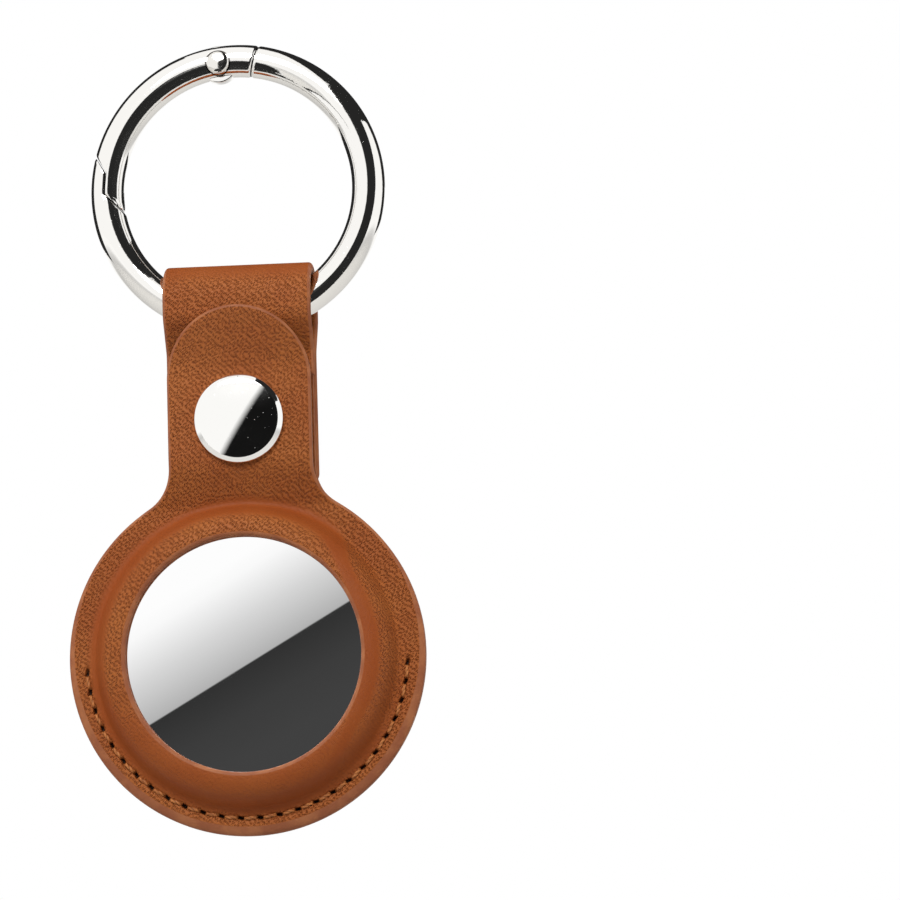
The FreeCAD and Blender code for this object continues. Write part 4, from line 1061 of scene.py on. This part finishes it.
finishes = {
    "cap_metal": capPlating,
    "spring_wire": plainMaterial("spring_wire", "#9a9a98", "#6f6f6e", 0.3, 1.0, 0.5),
    "snap_metal": plainMaterial("snap_plating", "#c9c6c0", "#a9a59e", 0.22, 1.0, 1.5),
    "tag_plastic": plainMaterial("tag_plastic", "#f1f1ef", "#e6e6e3", 0.4, 0.0, 3.0),
    "cell_steel": plainMaterial("cell_steel", "#c4c4c2", "#a8a8a6", 0.28, 1.0, 2.0),
    "board": plainMaterial("board_resist", "#24553a", "#1a4029", 0.45, 0.0, 1.2),
    "contact_metal": plainMaterial("contact_spring", "#d9b36a", "#b98f48", 0.25, 1.0, 0.8),
    "sounder": plainMaterial("sounder_black", "#2a2a2c", "#1c1c1e", 0.5, 0.0, 1.0),
}
nodeFinish = {
    "gate_spring": "spring_wire",
    "front_cap_post": "cap_metal", "back_cap_post": "cap_metal", "snap_socket": "snap_metal",
    "socket_catch": "spring_wire", "snap_stud": "snap_metal", "tag_shell": "tag_plastic",
    "tag_cell": "cell_steel", "tag_board": "board", "tag_contacts": "contact_metal", "tag_sounder": "sounder",
}
for node, finish in nodeFinish.items():
    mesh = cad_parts[node].data
    mesh.materials.clear()
    mesh.materials.append(finishes[finish])
print("finishes set")


# Studio

studio = {
    "floorZ": -0.35, "floorHalf": 4.0, "floor": "#bdbbb7", "floorRough": 0.9, "floorSpecular": 0.1,
    "glow": 0.3, "glowFrom": 0.6, "glowTo": 2.6,    # the floor's own light, growing into the background
    "worldLight": 0.17, "aim": (0, 0, -0.03), "lampSize": 0.6,
}
lamps = {
    "key_light": {"place": (-0.06, -0.92, 0.6), "power": 9.4, "mirrored": True},
    "left_light": {"place": (-0.95, -0.25, 0.33), "power": 3.0, "mirrored": False},
    "right_light": {"place": (0.95, -0.25, 0.33), "power": 2.5, "mirrored": False},
    "back_light": {"place": (0.45, 0.8, 0.5), "power": 4.0, "mirrored": False},
}


# Flat piece of the studio from its corners in m
def stagePlane(name, corners, material):
    mesh = bpy.data.meshes.new(name)
    mesh.from_pydata(corners, [], [tuple(range(len(corners)))])
    plane = bpy.data.objects.new(name, mesh)
    plane.data.materials.append(material)
    bpy.context.scene.collection.objects.link(plane)
    return plane


# Round lamp turned to the aim point; a lamp that isn't mirrored shows in no reflection
def areaLight(name, place, power, mirrored):
    lamp = bpy.data.lights.new(name, "AREA")
    lamp.shape = "DISK"
    lamp.size = studio["lampSize"]
    lamp.energy = power
    light = bpy.data.objects.new(name, lamp)
    light.location = place
    light.rotation_euler = (Vector(studio["aim"]) - Vector(place)).to_track_quat("-Z", "Y").to_euler()
    light.visible_glossy = mirrored
    bpy.context.scene.collection.objects.link(light)


floorShader = Shader("pale_floor")
outwards = floorShader.vector("LENGTH", floorShader.vector("MULTIPLY", floorShader.place, (1, 1, 0)))
fade = (outwards, studio["glowFrom"], studio["glowTo"])
scattered = floorShader.add("ShaderNodeLightPath").outputs["Is Diffuse Ray"]    # the glow lights nothing else
glow = floorShader.calc(floorShader.ramp(*fade, studio["glow"], 1.0),
                        floorShader.ramp(scattered, 0.0, 1.0, 1.0, 0.0), "MULTIPLY")
floorTint = floorShader.mix(floorShader.ramp(*fade), colour(studio["floor"]), (0, 0, 0, 1))
floorShader.set(Base_Color=floorTint, Roughness=studio["floorRough"],
                Specular_IOR_Level=studio["floorSpecular"], Emission_Color=(1, 1, 1, 1),
                Emission_Strength=glow)
wide, low = studio["floorHalf"], studio["floorZ"]
stagePlane("floor", [(-wide, -wide, low), (wide, -wide, low), (wide, wide, low), (-wide, wide, low)],
           floorShader.material)
for name, lamp in lamps.items():
    areaLight(name, **lamp)

# the world is white to the camera, in reflections and through anything clear, and a soft light otherwise
world = bpy.data.worlds.new("studio_world")
bpy.context.scene.world = world
world.use_nodes = True
tree = world.node_tree
background = tree.nodes["Background"]
background.inputs["Color"].default_value = (1, 1, 1, 1)
path = tree.nodes.new("ShaderNodeLightPath")
seen = tree.nodes.new("ShaderNodeMath")
seen.operation = "MAXIMUM"
seenToo = tree.nodes.new("ShaderNodeMath")
seenToo.operation = "MAXIMUM"
level = tree.nodes.new("ShaderNodeMapRange")
level.inputs["To Min"].default_value = studio["worldLight"]
level.inputs["To Max"].default_value = 1.0
for source, target in ((path.outputs["Is Camera Ray"], seen.inputs[0]),
                       (path.outputs["Is Glossy Ray"], seen.inputs[1]),
                       (seen.outputs[0], seenToo.inputs[0]),
                       (path.outputs["Is Transmission Ray"], seenToo.inputs[1]),
                       (seenToo.outputs[0], level.inputs["Value"]),
                       (level.outputs["Result"], background.inputs["Strength"])):
    tree.links.new(source, target)

# cards that only reflections see: a dark one before the object with a slanted soft edge, walls and a roof
# behind it for the ring's outline, and small graded ones that lie where the cover and the cap mirror them
cards = {
    "edge": (-0.027, -0.3, 0.0099), "slope": 57.8, "soft": 0.011, "wide": 0.37, "reach": 2.0, "dark": 0.02,
    "coverSpot": (-0.035, -0.295, -0.0281), "coverHalf": 0.0235, "coverRight": 0.06,
    "coverSlope": 29.9, "coverDrop": 0.0022,
    "coverStops": [(-0.0173, 1.0), (-0.0146, 0.96), (-0.0073, 0.68), (-0.0001, 0.45),
                   (0.0001, 0.031), (0.0073, 0.046), (0.0146, 0.053)],
    "capSpot": (-0.0013, -0.025, -0.02655), "capSoft": 0.002, "capDark": 0.007, "capReach": 0.03,
    "capSide": (-0.0155, 0.0095), "capUp": (-0.0377, -0.0145),
    "leftX": -0.5, "leftWall": [(0.1, -0.15), (2.2, 0.38), (2.2, 1.2), (0.3, 1.2)],       # y and z
    "rightX": 0.9, "rightWall": [(0.5, -0.2), (2.6, 0.22), (2.6, 1.2), (0.5, 1.2)],
    "roofZ": 0.5,
    "roof": [(-0.5, 0.45), (0.08, 0.06), (0.24, -0.38), (0.6, -0.5), (0.75, 2.6), (-0.5, 2.6)],    # x and y
    "eyeShift": 0.003, "eyeBack": 0.0003, "eyeSide": (-0.001, 0.006), "eyeDepth": (-0.019, -0.005),
    "eyeLean": 135.0,
}


# Flat piece that only reflections see
def reflectionCard(name, corners, material):
    card = stagePlane(name, corners, material)
    card.visible_camera = False
    card.visible_diffuse = False
    card.visible_shadow = False
    card.visible_transmission = False
    card.visible_volume_scatter = False


# A material that only gives light
def glowOnly(shader, tint, level):
    shader.set(Base_Color=(0, 0, 0, 1), Roughness=1.0, Specular_IOR_Level=0.0, Emission_Color=tint,
               Emission_Strength=level)
    return shader.material


# Emission that follows the distance across a slanted line on the card: stops are (distance in m, grey level)
def gradedCard(name, spot, degrees, stops):
    shader = Shader(name)
    slope = math.radians(degrees)
    across = Vector((math.sin(slope), 0, -math.cos(slope)))
    distance = shader.vector("DOT_PRODUCT", shader.vector("SUBTRACT", shader.place, spot), across)
    low, high = stops[0][0], stops[-1][0]
    ends = {"Value": distance, "From Min": low, "From Max": high}
    ramp = shader.add("ShaderNodeValToRGB", {"Fac": shader.add("ShaderNodeMapRange", ends).outputs["Result"]})
    grade = ramp.color_ramp.elements
    for i, (place, level) in enumerate(stops):
        share = (place - low) / (high - low)
        stop = grade[i] if i < 2 else grade.new(share)
        stop.position = share
        stop.color = (level, level, level, 1)
    return glowOnly(shader, ramp.outputs["Color"], 1.0)


slope = math.radians(cards["slope"])
along = Vector((math.cos(slope), 0, math.sin(slope)))
across = Vector((math.sin(slope), 0, -math.cos(slope)))
spot, soft, wide = Vector(cards["edge"]), cards["soft"], cards["wide"]
near, far, reach = spot - across * soft / 2, spot + across * wide, along * cards["reach"]
slantedLook = gradedCard("slanted_card", spot, cards["slope"],
                         [(-soft / 2, 1.0), (soft / 2, cards["dark"]), (wide, cards["dark"])])
reflectionCard("slanted_card", [near - reach, near + reach, far + reach, far - reach], slantedLook)

coverSpot, half, right = Vector(cards["coverSpot"]), cards["coverHalf"], cards["coverRight"]
coverLine = coverSpot - Vector((0, 0, cards["coverDrop"]))
coverLook = gradedCard("cover_card", coverLine, cards["coverSlope"], cards["coverStops"])
coverCorners = ((-half, -half), (right, -half), (right, half), (-half, half))
reflectionCard("cover_card", [coverSpot + Vector((x, 0, z)) for x, z in coverCorners], coverLook)

soft, dark = cards["capSoft"], cards["capDark"]
capLook = gradedCard("cap_card", cards["capSpot"], cards["slope"],
                     [(-soft / 2, 1.0), (soft / 2, dark), (cards["capReach"], dark)])
(left, right), (low, high), capY = cards["capSide"], cards["capUp"], cards["capSpot"][1]
capCorners = ((left, low), (right, low), (right, high), (left, high))
reflectionCard("cap_card", [(x, capY, z) for x, z in capCorners], capLook)

darkWall = glowOnly(Shader("dark_wall"), (1, 1, 1, 1), cards["dark"])
reflectionCard("left_wall", [(cards["leftX"], y, z) for y, z in cards["leftWall"]], darkWall)
reflectionCard("right_wall", [(cards["rightX"], y, z) for y, z in cards["rightWall"]], darkWall)
reflectionCard("back_roof", [(x, y, cards["roofZ"]) for x, y in cards["roof"]], darkWall)

# a small dark card across the ring's eye, backed by a white one, widens the band on the ring's upper left
lean = math.radians(cards["eyeLean"])
toUpperLeft = Vector((math.cos(lean), 0, math.sin(lean)))
aside = Vector((math.sin(lean), 0, -math.cos(lean)))
(inner, outer), (front, back) = cards["eyeSide"], cards["eyeDepth"]
brightBack = glowOnly(Shader("bright_back"), (1, 1, 1, 1), 1.0)
for name, shift, skin in (("eye_card", cards["eyeShift"], darkWall),
                          ("eye_back", cards["eyeShift"] - cards["eyeBack"], brightBack)):
    corners = [toUpperLeft * shift + aside * reach + Vector((0, depth, 0))
               for reach, depth in ((inner, front), (outer, front), (outer, back), (inner, back))]
    reflectionCard(name, corners, skin)
print("studio set")


# Camera at the photograph's angle

view = {
    "azimuth": 4.4, "elevation": -8.0, "roll": -1.64, "right": 24.94, "up": -32.43, "distance": 600.0,
    "lens": 196.85, "sensor": 36, "nearest": 0.01,
}


# Axes from azimuth and elevation, rolled about the line of sight; the aim point is given across and up the
# picture
def photoCamera():
    turn, rise, roll = (math.radians(view[key]) for key in ("azimuth", "elevation", "roll"))
    back = Vector((math.sin(turn) * math.cos(rise), -math.cos(turn) * math.cos(rise), math.sin(rise)))
    right = (-back).cross(Vector((0, 0, 1))).normalized()
    up = right.cross(-back)
    place = (right * view["right"] + up * view["up"] + back * view["distance"]) * mm
    rolledRight = right * math.cos(roll) + up * math.sin(roll)
    rolledUp = up * math.cos(roll) - right * math.sin(roll)
    lens = bpy.data.cameras.new("photo_camera")
    lens.lens = view["lens"]
    lens.sensor_width = view["sensor"]
    lens.clip_start = view["nearest"]
    camera = bpy.data.objects.new("photo_camera", lens)
    turned = Matrix((rolledRight, rolledUp, back)).transposed().to_4x4()
    camera.matrix_world = Matrix.Translation(place) @ turned
    bpy.context.scene.collection.objects.link(camera)
    bpy.context.scene.camera = camera


photoCamera()
bpy.context.scene.view_settings.view_transform = "Standard"
print("camera set")
